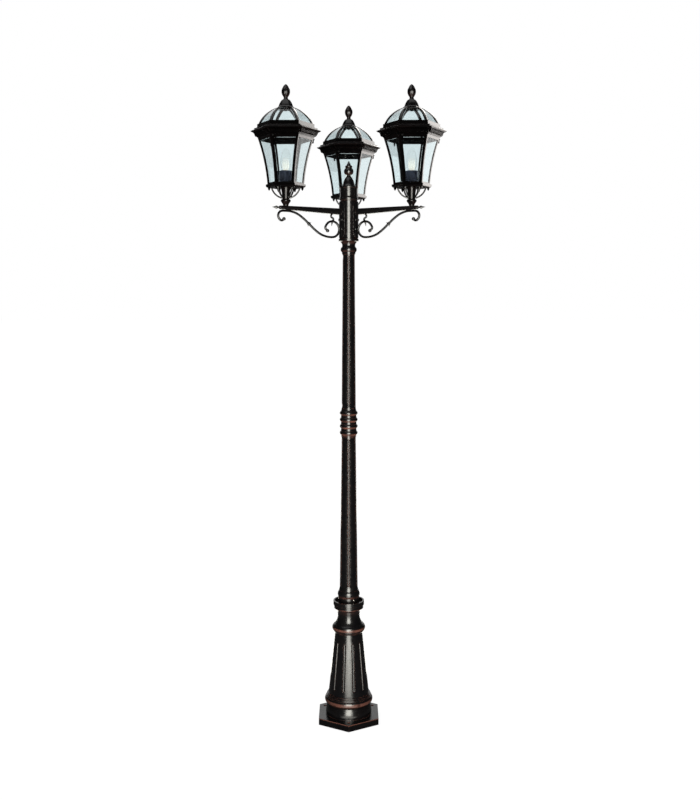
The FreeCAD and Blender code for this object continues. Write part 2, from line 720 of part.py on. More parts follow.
def saddle():
    """Curved plate with arched ends, on the hub's core."""
    z0 = SHELF_TOP + SEAT
    tube = Part.makeCylinder(SADDLE_R, SADDLE_H, V(0, 0, z0))
    tube = tube.cut(Part.makeCylinder(HUB_CORE_R + FIT, SADDLE_H, V(0, 0, z0)))
    side = SADDLE_HALF_W
    low_left = V(0, -side, z0 + SADDLE_POINT)
    low_right = V(0, side, z0 + SADDLE_POINT)
    high_left = V(0, -side, z0 + SADDLE_H - SADDLE_POINT)
    high_right = V(0, side, z0 + SADDLE_H - SADDLE_POINT)
    edges = [Part.Arc(low_left, V(0, 0, z0), low_right).toShape(),
             Part.makeLine(low_right, high_right),
             Part.Arc(high_right, V(0, 0, z0 + SADDLE_H), high_left).toShape(),
             Part.makeLine(high_left, low_left)]
    shield = Part.Face(Part.Wire(edges)).extrude(V(SADDLE_R + OVERLAP, 0, 0))
    return tube.common(shield)


def arm_beam():
    root = HUB_CORE_R + FIT + OVERLAP
    end = LANTERN_REACH + ARM_END
    bar = Part.makeLoft([arm_section(root, ARM_ROOT_W), arm_section(end, ARM_END_W)], True, True)
    beam = fused(saddle(), bar)
    wireway = rod(V(0, 0, wireway_z(0)), V(LANTERN_REACH, 0, wireway_z(LANTERN_REACH)),
                  ARM_WIREWAY_R)
    riser = Part.makeCylinder(STEM_SPIGOT_R + SEAT, STEM_SPIGOT_H + SEAT,
                              V(LANTERN_REACH, 0, ARM_TOP - STEM_SPIGOT_H - SEAT))
    stud_z = wireway_z(end)
    stud = rod(V(end - TIP_STUD_L - FIT, 0, stud_z), V(end + OVERLAP, 0, stud_z), TIP_STUD_R + SEAT)
    cuts = [wireway, riser, stud]
    for z, side in bolt_places():
        hole = rod(V(HUB_CORE_R, 0, z), V(SADDLE_R + OVERLAP, 0, z), BOLT_R + SEAT)
        cuts.append(turn(hole, side))
    return beam.cut(Part.makeCompound(cuts))


def arm_bolts():
    bolts = []
    seat = SADDLE_R + SEAT
    outline = Outline(BOLT_R, -BOLT_DEPTH + HUB_CORE_R + SEAT).line(BOLT_R, seat - HUB_CORE_R
                                                                    + BOLT_DEPTH - SEAT)
    outline.line(BOLT_HEAD_R)
    outline.arc(BOLT_HEAD_R * 0.8, POINT_R, BOLT_HEAD_H, at=0.62)
    bolt = outline.turned()
    bolt.rotate(ORIGIN, V(0, 1, 0), 90)
    for z, side in bolt_places():
        bolts.append(turn(moved(bolt, z=z), side))
    return Part.makeCompound(bolts)


def arm_tip():
    """Bead and spear on the end of the arm, drawn upwards and laid along +X."""
    outline = Outline(TIP_STUD_R, -TIP_STUD_L).line(TIP_STUD_R, TIP_STUD_L)
    outline.line(TIP_COLLAR_R)
    outline.arc(TIP_COLLAR_R + TIP_COLLAR_SWELL, TIP_NECK_R, TIP_COLLAR_L, at=0.4)
    outline.line(TIP_NECK_R, TIP_NECK_L)
    outline.arc(SPEAR_R * 0.86, SPEAR_R, SPEAR_L * 0.3)
    outline.arc(SPEAR_R * 0.46, POINT_R, SPEAR_L * 0.7)
    tip = outline.turned()
    tip.rotate(ORIGIN, V(0, 1, 0), 90)
    end = LANTERN_REACH + ARM_END
    return moved(tip, x=end, z=wireway_z(end))


# ================================================================ scrolls
def inner_curl_centre():
    return V(SADDLE_R + SEAT + ROD_R + INNER_CURL_R, 0, SHELF_TOP + INNER_CURL_Z)


def scroll_head():
    """Where the rod touches the underside of the arm, on the lantern's axis."""
    return V(LANTERN_REACH, 0, ARM_TOP - arm_height(LANTERN_REACH) - ROD_R - SEAT)


def s_point(share):
    """Point on the long S between the arm and the inner curl."""
    head = scroll_head()
    foot = inner_curl_centre() - V(0, 0, INNER_CURL_R)
    fall = share ** 3 * (6 * share ** 2 - 15 * share + 10)
    return V(head.x + (foot.x - head.x) * share, 0, head.z + (foot.z - head.z) * fall)


def scroll_points():
    outer = V(LANTERN_REACH + OUTER_CURL_OUT, 0, scroll_head().z - OUTER_CURL_R)
    inner = inner_curl_centre()
    points = [polar(outer, 0.72 * OUTER_CURL_R, -116)]
    points += [polar(outer, OUTER_CURL_R, a) for a in (-80, -45, -8, 30, 66)]
    points += [s_point(i / 8.0) for i in range(9)]
    points += [polar(inner, INNER_CURL_R, a) for a in range(240, 29, -30)]
    points += [polar(inner, 0.99 * INNER_CURL_R, 7), polar(inner, 0.7 * INNER_CURL_R, -17)]
    return points


def thorned_sleeve():
    middle = s_point(COLLAR_AT)
    way = (s_point(COLLAR_AT + 0.02) - s_point(COLLAR_AT - 0.02)).normalize()
    side = V(way.z, 0, -way.x)
    pieces = [rod(middle - way * (SLEEVE_L / 2), middle + way * (SLEEVE_L / 2), SLEEVE_R)]
    for sense in (-1, 1):
        lean = side * sense + way * 0.35
        pieces.append(Part.makeCone(THORN_R, THORN_R / 6, THORN_L, middle, lean))
    return pieces


def arm_scroll():
    points = scroll_points()
    scroll = pipe(points, ROD_R)
    inner = inner_curl_centre()
    top = inner + V(0, 0, INNER_CURL_R)
    ceiling = ARM_TOP - arm_height(top.x) - SEAT
    rise = ceiling - top.z
    drop = pipe([top, top + V(-DROP_SWAY, 0, 0.32 * rise), top + V(DROP_SWAY, 0, 0.68 * rise),
                 V(top.x, 0, ceiling + DROP_R)], DROP_R)
    above = box(top.x - 20, top.x + 20, -20, 20, ceiling, ceiling + 20)
    above.rotate(V(top.x, 0, ceiling), V(0, 1, 0), arm_slope())
    drop = drop.cut(above)
    leaf = Part.makeCone(LEAF_R, LEAF_R / 8, LEAF_L, top, V(0.16, 0, -1))
    balls = [Part.makeSphere(ROD_BALL_R, points[0], points[1] - points[0]),
             Part.makeSphere(ROD_BALL_R, points[-1], points[-2] - points[-1])]
    return fused(scroll, drop, leaf, *(balls + thorned_sleeve()))


def arm_slope():
    """Angle of the arm's rising underside, in degrees about +Y."""
    length = LANTERN_REACH + ARM_END - HUB_CORE_R
    return -math.degrees(math.atan((ARM_ROOT_H - ARM_END_H) / length))


# ================================================================ lantern stem
def lantern_stem():
    spigot_foot = ARM_TOP - STEM_SPIGOT_H
    outline = Outline(STEM_SPIGOT_R, spigot_foot).line(STEM_SPIGOT_R, STEM_SPIGOT_H)
    outline.line(STEM_FOOT_R)
    outline.arc(STEM_FOOT_R + STEM_FOOT_SWELL, KNOP_R - KNOP_IN, STEM_FOOT_H)
    outline.arc(KNOP_R, KNOP_R - KNOP_IN, KNOP_H * 0.8)
    outline.line(STEM_NECK_R, KNOP_H * 0.2)
    outline.arc((STEM_NECK_R + STEM_HEAD_R) / 2 - STEM_HOLLOW, STEM_HEAD_R, STEM_H)
    outline.line(STEM_SPIGOT_R)
    outline.line(STEM_SPIGOT_R, STEM_SPIGOT_H)
    height = FLOOR_Z + STEM_SPIGOT_H - spigot_foot
    return outline.turned().cut(Part.makeCylinder(ARM_WIREWAY_R, height, V(0, 0, spigot_foot)))


def stem_straps():
    neck_z = FLOOR_Z - STEM_H + STRAP_R + SEAT
    rise = FLOOR_Z - neck_z
    foot = V(STEM_NECK_R - STRAP_RUN_ON, 0, neck_z)
    bow = (STEM_NECK_R + STRAP_OUT) / 2 + STRAP_BOW
    middle = V(bow, 0, neck_z + rise * (0.5 - STRAP_SAG / 2))
    head = V(STRAP_OUT + STRAP_RUN_ON, 0, FLOOR_Z + STRAP_RUN_ON)
    path = Part.Wire(Part.Arc(foot, middle, head).toShape())
    start = path.Edges[0].tangentAt(path.Edges[0].FirstParameter)
    section = Part.Wire(Part.makeCircle(STRAP_R, foot, start))
    strap = path.makePipeShell([section], True, True)
    wide = 4 * STRAP_R
    over = box(0, 2 * STRAP_OUT, -wide, wide, FLOOR_Z - SEAT, FLOOR_Z + wide)
    strap = strap.cut(over)
    reach = KNOP_H * 0.2 + STRAP_R * 2 + SEAT
    neck = Part.makeCone(STEM_NECK_R + SEAT, STEM_NECK_R + SEAT + STRAP_CLEAR, reach + STRAP_R,
                         V(0, 0, FLOOR_Z - STEM_H - KNOP_H * 0.2))
    return Part.makeCompound(ring_of(strap.cut(neck), SIDES, 30.0))


# ================================================================ lantern cage
def floor_ring():
    outline = Outline(FLOOR_FOOT_R, FLOOR_Z, FLAT)
    outline.arc(FLOOR_R - FLOOR_SWELL_IN, FLOOR_R, FLOOR_H * 0.55)
    outline.line(FLOOR_R, FLOOR_H * 0.45)
    plate = outline.six_sided()
    pendant = Outline(POINT_R, -PENDANT_H).arc(PENDANT_R * 0.8, PENDANT_R, PENDANT_H)
    pendant.line(PENDANT_R, OVERLAP)
    drop = moved(pendant.turned(), x=STRAP_OUT + 2 * STRAP_R + PENDANT_R + FIT, z=FLOOR_Z)
    plate = fused(plate, *ring_of(drop, SIDES, 30.0))
    hole = Part.makeCylinder(STEM_SPIGOT_R + SEAT, FLOOR_H, V(0, 0, FLOOR_Z))
    return plate.cut(hole)


def cage_shell(inset, depth, below, above):
    """Six-sided tapering shell behind the cage's outer face."""
    def outline(back):
        shape = Outline(CAGE_FOOT_R - back, CAGE_Z, FLAT)
        return shape.arc(CAGE_WAIST_R - back, CAGE_HEAD_R - back, CAGE_H).six_sided()
    back = inset / FLAT
    shell = outline(back).cut(outline(back + depth / FLAT))
    wide = 2 * CAGE_HEAD_R
    zone = box(-wide, wide, -wide, wide, CAGE_Z + below, CAGE_Z + CAGE_H - above)
    return shell.common(zone)


def corner_star(width, low, high):
    """Upright slabs that cross over the six corners."""
    reach = 2 * CORNICE_TIP_R
    slab = box(0, reach, -width / 2, width / 2, low, high)
    slabs = ring_of(slab, SIDES, 30.0)
    return slabs[0].multiFuse(slabs[1:])


def cage_frame():
    shell = cage_shell(0.0, CAGE_DEPTH, 0.0, 0.0)
    bars = shell.common(corner_star(BAR_W, CAGE_Z, CAGE_Z + CAGE_H))
    wide = 2 * CAGE_HEAD_R
    sill = shell.common(box(-wide, wide, -wide, wide, CAGE_Z, CAGE_Z + SILL_H))
    head_z = CAGE_Z + CAGE_H - HEAD_RAIL_H
    head = shell.common(box(-wide, wide, -wide, wide, head_z, CAGE_Z + CAGE_H))
    return fused(bars, sill, head)


def cage_panes():
    shell = cage_shell(PANE_IN, PANE_THICK, SILL_H + PANE_GAP, HEAD_RAIL_H + PANE_GAP)
    star = corner_star(BAR_W + 2 * PANE_GAP, CAGE_Z, CAGE_Z + CAGE_H)
    return Part.makeCompound(shell.cut(star).Solids)


# ================================================================ lantern roof
def dome_shell(inset, depth):
    """Six-sided vault whose corners follow one circle."""
    def outline(back):
        rises = [DOME_BELOW, DOME_BELOW + DOME_BEND * DOME_RISE, DOME_BELOW + DOME_RISE]
        corners = [math.sqrt(DOME_R ** 2 - rise ** 2) for rise in rises]
        radii = [corner - back * DOME_R / corner for corner in corners]
        shape = Outline(radii[0], FASCIA_TOP, FLAT)
        return shape.arc(radii[1], radii[2], DOME_RISE, at=DOME_BEND).six_sided()
    return outline(inset).cut(outline(inset + depth))


def crown_r():
    return math.sqrt(DOME_R ** 2 - (DOME_BELOW + DOME_RISE) ** 2)


def cornice():
    outline = Outline(CORNICE_FOOT_R, ROOF_Z, FLAT).line(CORNICE_FOOT_R, CORNICE_FOOT_H)
    outline.line(CORNICE_COVE_R)
    outline.arc(CORNICE_COVE_R + 2.5, CORNICE_DRIP_R, CORNICE_COVE_H, at=0.6)
    outline.line(CORNICE_TIP_R, CORNICE_TIP_H)
    outline.line(CORNICE_STEP_R, CORNICE_SLOPE_H)
    outline.line(CORNICE_STEP_R, CORNICE_STEP_H)
    outline.line(CORNICE_FASCIA_R)
    outline.line(CORNICE_FASCIA_R, CORNICE_FASCIA_H)
    spring_r = math.sqrt(DOME_R ** 2 - DOME_BELOW ** 2)
    inside_r = spring_r - DOME_DEPTH * DOME_R / spring_r
    inside = Outline(inside_r, ROOF_Z, FLAT).line(inside_r, FASCIA_TOP - ROOF_Z)
    return outline.six_sided().cut(inside.six_sided())


def tab_x():
    """Inner face of a roof tab, just clear of the cage's head rail."""
    return CAGE_HEAD_R * FLAT + PART_GAP


def tab_y():
    """Edge of a roof tab beside the corner bar."""
    return -CAGE_HEAD_R / 2 + BAR_W / 2 + TAB_ASIDE


def roof_frame():
    shell = dome_shell(0.0, DOME_DEPTH)
    ribs = shell.common(corner_star(RIB_W, FASCIA_TOP, CROWN_Z))
    crown_edge = crown_r() - CROWN_IN
    crown = Outline(crown_edge, CROWN_Z - CROWN_THICK, FLAT).line(crown_edge, CROWN_THICK)
    tab = box(tab_x(), tab_x() + TAB_THICK, tab_y(), tab_y() + TAB_W,
              ROOF_Z - TAB_DROP, ROOF_Z + CORNICE_FOOT_H + TAB_ROOT)
    tabs = ring_of(tab, ROOF_SCREWS, TAB_AZIMUTH)
    frame = fused(cornice(), ribs, crown.six_sided(), *tabs)
    stud = Part.makeCylinder(STUD_R + SEAT, CROWN_THICK + 2 * OVERLAP,
                             V(0, 0, CROWN_Z - CROWN_THICK - OVERLAP))
    hole = screw_hole(tab_x() - OVERLAP, tab_x() + TAB_THICK + OVERLAP, ROOF_SCREW_R + SEAT)
    holes = ring_of(hole, ROOF_SCREWS, TAB_AZIMUTH)
    return frame.cut(Part.makeCompound(holes + [stud]))


def screw_hole(x0, x1, radius):
    y = tab_y() + TAB_W / 2
    z = ROOF_Z - TAB_SCREW_DROP
    return rod(V(x0, y, z), V(x1, y, z), radius)


def roof_screws():
    shank_end = tab_x() + SEAT
    head_x = tab_x() + TAB_THICK + SEAT
    shank = screw_hole(shank_end, head_x, ROOF_SCREW_R)
    head = screw_hole(head_x, head_x + ROOF_SCREW_HEAD_L, ROOF_SCREW_HEAD_R)
    return Part.makeCompound(ring_of(fused(shank, head), ROOF_SCREWS, TAB_AZIMUTH))


def roof_panes():
    shell = dome_shell(PANE_IN, PANE_THICK)
    star = corner_star(RIB_W + 2 * PANE_GAP, FASCIA_TOP, CROWN_Z)
    wide = 2 * DOME_R
    low = FASCIA_TOP + PANE_GAP
    high = CROWN_Z - CROWN_THICK - PANE_GAP
    zone = box(-wide, wide, -wide, wide, low, high)
    return Part.makeCompound(shell.common(zone).cut(star).Solids)


def roof_cap():
    outline = Outline(CROWN_CAP_R, CROWN_Z, FLAT).line(CROWN_CAP_SHOULDER_R, CROWN_CAP_SKIRT)
    middle = (CROWN_CAP_SHOULDER_R + CROWN_CAP_TOP_R) / 2 + CROWN_CAP_SWELL
    outline.arc(middle, CROWN_CAP_TOP_R, CROWN_CAP_H - CROWN_CAP_SKIRT)
    stud = Part.makeCylinder(STUD_R + SEAT, CROWN_CAP_H, V(0, 0, CROWN_Z))
    return outline.six_sided().cut(stud)


def bud(back):
    """Leaf bud on its neck, drawn back by a distance for the grooves between its petals."""
    foot = CROWN_Z - CROWN_THICK
    outline = Outline(STUD_R, foot).line(STUD_R, CROWN_CAP_TOP - foot)
    outline.line(BUD_FLANGE_R)
    outline.arc(BUD_FLANGE_R + BUD_FLANGE_SWELL, BUD_NECK_R - back, BUD_FLANGE_H, at=0.4)
    outline.line(BUD_NECK_R - back, BUD_NECK_H)
    outline.arc(BUD_R * 0.86 - back, BUD_R - back, BUD_H * 0.38)
    outline.arc(BUD_R * 0.78 - back, POINT_R, BUD_H * 0.62)
    return outline.turned()


def roof_finial():
    low = CROWN_CAP_TOP + BUD_FLANGE_H + BUD_NECK_H
    grooves = corner_star(PETAL_GROOVE, low + 0.06 * BUD_H, low + 0.82 * BUD_H)
    return bud(0).cut(bud(0).cut(bud(PETAL_DEPTH)).common(grooves))


# ================================================================ lampholder and bulb
def lampholder():
    outline = Outline(HOLDER_R, CAGE_Z).line(HOLDER_R, HOLDER_H - HOLDER_CHAMFER)
    outline.line(HOLDER_R - HOLDER_CHAMFER, HOLDER_CHAMFER)
    socket = Part.makeCylinder(BULB_CAP_R + PART_GAP, BULB_CAP_H + PART_GAP,
                               V(0, 0, CAGE_Z + HOLDER_H - BULB_CAP_H - PART_GAP))
    wireway = Part.makeCylinder(ARM_WIREWAY_R, HOLDER_H, V(0, 0, CAGE_Z))
    return outline.turned().cut(Part.makeCompound([socket, wireway]))


def bulb():
    top = CAGE_Z + HOLDER_H
    outline = Outline(BULB_CAP_R - BULB_CAP_POINT, top - BULB_CAP_H).line(BULB_CAP_R, BULB_CAP_POINT)
    outline.line(BULB_CAP_R, BULB_CAP_H - BULB_CAP_POINT + PART_GAP)
    outline.arc(BULB_R * 0.93, BULB_R, BULB_H * 0.3)
    outline.arc(BULB_R * 0.86, BULB_R * 0.38, BULB_H * 0.62, at=0.52)
    outline.arc(BULB_R * 0.26, POINT_R, BULB_H * 0.08)
    return outline.turned()


# ================================================================ the whole post
def main():
    os.makedirs("parts", exist_ok=True)
    pieces = {
        "pedestal_casting": pedestal_casting(),
        "pedestal_set_screws": pedestal_set_screws(),
        "terminal_bracket": terminal_bracket(),
        "bracket_screw": bracket_screw(),
        "terminal_block": terminal_block(),
        "lower_column": lower_column(),
        "column_nipple": column_nipple(),
        "joint_collar": joint_collar(),
        "upper_column": upper_column(),
        "hub": hub(),
        "hub_cap": hub_cap(),
        "post_finial": post_finial(),
    }
    on_arm = {"arm_beam": arm_beam(), "arm_bolts": arm_bolts(), "arm_tip": arm_tip(),
              "arm_scroll": arm_scroll()}
    on_lantern = {
        "lantern_stem": lantern_stem(), "stem_straps": stem_straps(),
        "floor_ring": floor_ring(), "cage_frame": cage_frame(), "cage_panes": cage_panes(),
        "roof_frame": roof_frame(), "roof_panes": roof_panes(), "roof_screws": roof_screws(),
        "roof_cap": roof_cap(), "roof_finial": roof_finial(),
        "lampholder": lampholder(), "bulb": bulb(),
    }
    for name, shape in on_lantern.items():
        on_arm[name] = moved(shape, x=LANTERN_REACH)
    for side, azimuth in ARM_AZIMUTHS.items():
        for name, shape in on_arm.items():
            pieces[name + "_" + side] = turn(shape, azimuth)
    for name, shape in pieces.items():
        solids = shape.Solids
        print(name, len(solids), "solids", round(shape.Volume / 1000.0, 2), "cm3", shape.isValid())
        shape.exportStep(os.path.join("parts", name + ".step"))
    print("height", round(max(s.BoundBox.ZMax for s in pieces.values()), 1))


main()
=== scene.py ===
# %% [markdown]
# # A garden lamp post with three lanterns
# This lesson dresses a lamp post of cast metal and clear glass. The construction comes as
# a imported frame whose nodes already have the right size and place. We give every casting
# its satin black paint with bronze showing through on the edges, and we model by hand what
# a construction model leaves plain: bevelled glass, candle bulbs, leaf buds and ornament.

# %% Load the frame
import math

import bmesh
import bpy
from mathutils import Matrix, Vector
from mathutils.geometry import interpolate_bezier


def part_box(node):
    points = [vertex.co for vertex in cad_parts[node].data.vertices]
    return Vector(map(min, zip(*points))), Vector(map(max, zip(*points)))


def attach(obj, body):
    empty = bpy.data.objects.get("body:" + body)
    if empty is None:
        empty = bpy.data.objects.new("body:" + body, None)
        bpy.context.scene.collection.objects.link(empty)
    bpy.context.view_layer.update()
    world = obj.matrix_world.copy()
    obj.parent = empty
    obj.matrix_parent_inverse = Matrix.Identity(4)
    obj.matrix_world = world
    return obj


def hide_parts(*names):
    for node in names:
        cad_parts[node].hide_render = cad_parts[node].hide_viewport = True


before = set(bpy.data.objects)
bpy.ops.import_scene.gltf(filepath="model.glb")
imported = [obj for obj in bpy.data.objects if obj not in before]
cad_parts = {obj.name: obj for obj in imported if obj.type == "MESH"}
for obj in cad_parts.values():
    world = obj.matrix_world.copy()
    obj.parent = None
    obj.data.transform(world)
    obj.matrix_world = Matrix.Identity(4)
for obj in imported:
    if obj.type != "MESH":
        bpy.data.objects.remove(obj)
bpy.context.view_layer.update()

SIDES = ("left", "right", "back")

# %% [markdown]
# ## Where things are
# Nothing is measured by eye: each place is read from the frame. A lantern's axis is the
# middle of its lampholder, and its heights are the ends of the nodes that it is made of.


# %% Places read from the frame
def middle_of(node):
    low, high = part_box(node)
    return (low + high) / 2


def heights_of(node):
    low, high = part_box(node)
    return low.z, high.z


def radius_of(node):
    low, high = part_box(node)
    return (high.x - low.x) / 2


AXIS = {}
for side in SIDES:
    holder_middle = middle_of(f"lampholder_{side}")
    AXIS[side] = Vector((holder_middle.x, holder_middle.y, 0))
    print("lantern", side, "at", tuple(round(v, 3) for v in AXIS[side][:2]))

HOLDER_LOW, HOLDER_TOP = heights_of("lampholder_left")
CAGE_TOP = heights_of("cage_frame_left")[1]
print("lampholders end at", round(HOLDER_TOP, 4), "and cages at", round(CAGE_TOP, 4))

# %% [markdown]
# ## Camera
# The post stands 3.4 m from a level camera at shoulder height. The frame is lowered with
# shift instead of tilting the camera down, as an architect would, so the post's sides stay
# upright.

# %% Camera
CAMERA_DISTANCE = 3.44
CAMERA_HEIGHT = 1.472
LENS_MM = 44.1
SHIFT_X = 0.0016
SHIFT_Y = -0.1275

camera_data = bpy.data.cameras.new("camera")
camera_data.lens = LENS_MM
camera_data.shift_x = SHIFT_X
camera_data.shift_y = SHIFT_Y
camera = bpy.data.objects.new("camera", camera_data)
camera.location = (0, -CAMERA_DISTANCE, CAMERA_HEIGHT)
camera.rotation_euler = (math.radians(90), 0, 0)
bpy.context.scene.collection.objects.link(camera)
bpy.context.scene.camera = camera
bpy.context.scene.view_settings.view_transform = "Standard"
print("camera", LENS_MM, "mm at", CAMERA_DISTANCE, "m")

# %% [markdown]
# ## Small tools for materials
# Every finish below is built from the same few nodes: object coordinates, a noise, a ramp
# that turns the noise into colours, and a bump. Each tool returns the socket to plug in next.


# %% Material tools
class Finish:
    """A principled material whose patterns follow the piece's own object coordinates."""

    def __init__(self, name):
        self.material = bpy.data.materials.new(name)
        self.material.use_nodes = True
        self.tree = self.material.node_tree
        self.tree.nodes.clear()
        output = self.node("ShaderNodeOutputMaterial")
        self.shader = self.node("ShaderNodeBsdfPrincipled")
        self.link(self.shader.outputs["BSDF"], output.inputs["Surface"])
        self.place = self.node("ShaderNodeTexCoord").outputs["Object"]

    def node(self, kind, **settings):
        made = self.tree.nodes.new(kind)
        for key, value in settings.items():
            setattr(made, key, value)
        return made

    def link(self, source, target):
        self.tree.links.new(source, target)

    def fixed(self, **sockets):
        """Set sockets to one value all over the surface."""
        for key, value in sockets.items():
            self.shader.inputs[key.replace("_", " ")].default_value = value

    def height(self, vector):
        """The Z part of a vector."""
        parts = self.node("ShaderNodeSeparateXYZ")
        self.link(vector, parts.inputs[0])
        return parts.outputs["Z"]

    def noise(self, scale, detail, roughness=0.55):
        made = self.node("ShaderNodeTexNoise")
        made.inputs["Scale"].default_value = scale
        made.inputs["Detail"].default_value = detail
        made.inputs["Roughness"].default_value = roughness
        self.link(self.place, made.inputs["Vector"])
        return made.outputs["Fac"]

    def ramp(self, factor, first, second):
        """A colour that runs from the first (position, colour) to the second."""
        made = self.node("ShaderNodeValToRGB")
        for element, (position, colour) in zip(made.color_ramp.elements, (first, second)):
            element.position = position
            element.color = (*colour, 1.0)
        self.link(factor, made.inputs["Fac"])
        return made.outputs["Color"]

    def span(self, value, low, high, to_low=0.0, to_high=1.0):
        """The value's run from low to high, turned into a run from to_low to to_high."""
        made = self.node("ShaderNodeMapRange")
        for name, number in (("From Min", low), ("From Max", high),
                             ("To Min", to_low), ("To Max", to_high)):
            made.inputs[name].default_value = number
        self.link(value, made.inputs["Value"])
        return made.outputs["Result"]

    def maths(self, operation, first, second):
        made = self.node("ShaderNodeMath", operation=operation, use_clamp=True)
        for socket, value in zip(made.inputs, (first, second)):
            if isinstance(value, (int, float)):
                socket.default_value = value
            else:
                self.link(value, socket)
        return made.outputs["Value"]

    def mix(self, factor, first, second):
        """A colour between the first, a socket, and the second, a fixed colour."""
        made = self.node("ShaderNodeMix", data_type="RGBA")
        colours = [socket for socket in made.inputs if socket.type == "RGBA"]
        amount = next(socket for socket in made.inputs if socket.type == "VALUE")
        self.link(factor, amount)
        self.link(first, colours[0])
        colours[1].default_value = (*second, 1.0)
        return next(socket for socket in made.outputs if socket.type == "RGBA")

    def bump(self, height, strength, distance, over=None):
        made = self.node("ShaderNodeBump")
        made.inputs["Strength"].default_value = strength
        made.inputs["Distance"].default_value = distance
        self.link(height, made.inputs["Height"])
        if over:
            self.link(over, made.inputs["Normal"])
        self.link(made.outputs["Normal"], self.shader.inputs["Normal"])


print("material tools ready")

# %% [markdown]
# ## Where the paint is rubbed
# The real finish was rubbed back while it was soft, so that copper brown shows on corners,
# on bands of the pedestal's rings and on undersides. It could be painted on by hand, but
# the shape already knows these places. Blender's Bevel node gives the rounded corner that a
# casting has, and where its normal leaves the flat one, there is a corner to rub. Facing
# down is read from the surface's normal, and a band from its height. Noise, given as scale,
# detail and roughness, breaks all three into patches.

# %% Rubbed places
CORNER_FACING = (0.99, 0.86)
CORNER_NOISE = (46.0, 6.0, 0.65)
CORNER_PATCHES = (0.34, 0.56)
LEVEL_FACING = (0.75, 0.95)
BAND_NOISE = (38.0, 6.0, 0.65)
BAND_PATCHES = (0.30, 0.50)
BAND_LEAST = 0.25
BAND_SOFTNESS = 0.2
DOWN_FACING = (-0.10, -0.55)
STREAK_NOISE = (24.0, 5.0, 0.6)
STREAK_PATCHES = (0.33, 0.66)


def rubbed_corners(paint, rounded, flat, share):
    """Wear where the rounded normal leans away from the flat one."""
    facing = paint.node("ShaderNodeVectorMath", operation="DOT_PRODUCT")
    paint.link(rounded, facing.inputs[0])
    paint.link(flat, facing.inputs[1])
    edges = paint.span(facing.outputs["Value"], *CORNER_FACING, 0.0, share)
    patches = paint.span(paint.noise(*CORNER_NOISE), *CORNER_PATCHES)
    return paint.maths("MULTIPLY", edges, patches)


def rubbed_bands(paint, worn, upward, bands):
    """Adds wear between two heights, apart from faces that look up."""
    place_z = paint.height(paint.place)
    upright = paint.span(upward, *LEVEL_FACING, 1.0, 0.0)
    patches = paint.span(paint.noise(*BAND_NOISE), *BAND_PATCHES, BAND_LEAST, 1.0)
    for low, high, share in bands:
        soft = BAND_SOFTNESS * (high - low)
        above = paint.span(place_z, low, low + soft)
        below = paint.span(place_z, high - soft, high, share, 0.0)
        band = paint.maths("MULTIPLY", paint.maths("MULTIPLY", above, below), upright)
        worn = paint.maths("MAXIMUM", worn, paint.maths("MULTIPLY", band, patches))
    return worn


def rubbed_undersides(paint, worn, upward, share):
    """Adds wear in streaks where the surface looks down."""
    down = paint.span(upward, *DOWN_FACING, 0.0, share)
    streaks = paint.span(paint.noise(*STREAK_NOISE), *STREAK_PATCHES)
    return paint.maths("MAXIMUM", worn, paint.maths("MULTIPLY", down, streaks))


print("wear on corners, bands and undersides")

# %% [markdown]
# ## The castings' paint
# A near-black satin paint covers every casting. It isn't one colour: a slow noise runs from
# cold to warm black, a finer one varies the satin, and a very fine bump gives the peel of
# sprayed paint. One function makes it, because the castings differ only in how hard and how
# wide they were rubbed, and the lanterns in a warmer black.

# %% Cast paint
PAINT_BLACK = (0.0011, 0.0011, 0.0015)
PAINT_WARM = (0.0029, 0.0024, 0.0024)
LANTERN_WARM = (0.0060, 0.0030, 0.0030)
RUBBED_BRONZE = (0.135, 0.054, 0.040)
CORNER_RADIUS = 0.0011
RING_RADIUS = 0.0019
BEVEL_RAYS = 4
MOTTLE_NOISE = (13.0, 6.0, 0.6)
MOTTLE_STOPS = (0.36, 0.68)
SATIN_NOISE = (95.0, 4.0, 0.6)
SATIN = (0.17, 0.28)
RUBBED_ROUGHER = 0.08
PEEL_NOISE = (520.0, 3.0, 0.5)
PEEL_STRENGTH = 0.10
PEEL_DEPTH = 0.0004


def cast_paint(name, corner_rub, under_rub, warm=PAINT_WARM, radius=CORNER_RADIUS, bands=()):
    """Satin black that shows bronze where it was rubbed."""
    paint = Finish(name)
    flat = paint.node("ShaderNodeNewGeometry").outputs["Normal"]
    corner = paint.node("ShaderNodeBevel", samples=BEVEL_RAYS)
    corner.inputs["Radius"].default_value = radius
    rounded = corner.outputs["Normal"]
    upward = paint.height(flat)
    worn = rubbed_corners(paint, rounded, flat, corner_rub)
    if bands:
        worn = rubbed_bands(paint, worn, upward, bands)
    if under_rub:
        worn = rubbed_undersides(paint, worn, upward, under_rub)
    mottled = paint.ramp(paint.noise(*MOTTLE_NOISE), (MOTTLE_STOPS[0], PAINT_BLACK),
                         (MOTTLE_STOPS[1], warm))
    paint.link(paint.mix(worn, mottled, RUBBED_BRONZE), paint.shader.inputs["Base Color"])
    satin = paint.span(paint.noise(*SATIN_NOISE), 0.3, 0.7, *SATIN)
    rougher = paint.maths("MULTIPLY", worn, RUBBED_ROUGHER)
    paint.link(paint.maths("ADD", satin, rougher), paint.shader.inputs["Roughness"])
    paint.bump(paint.noise(*PEEL_NOISE), PEEL_STRENGTH, PEEL_DEPTH, over=rounded)
    paint.fixed(Specular_IOR_Level=0.5)
    return paint.material


print("bronze shows on corners of", 1000 * CORNER_RADIUS, "mm, rings", 1000 * RING_RADIUS, "mm")

# %% [markdown]
# ## Six paints
# Rings were rubbed hardest, plain arms least. The pedestal also has four rubbed bands, each
# given as low height, high height and strength: the foot's upper edge, the ring over the
# plinth, the top of the ring over the cone, and the corner under the cup's rim.

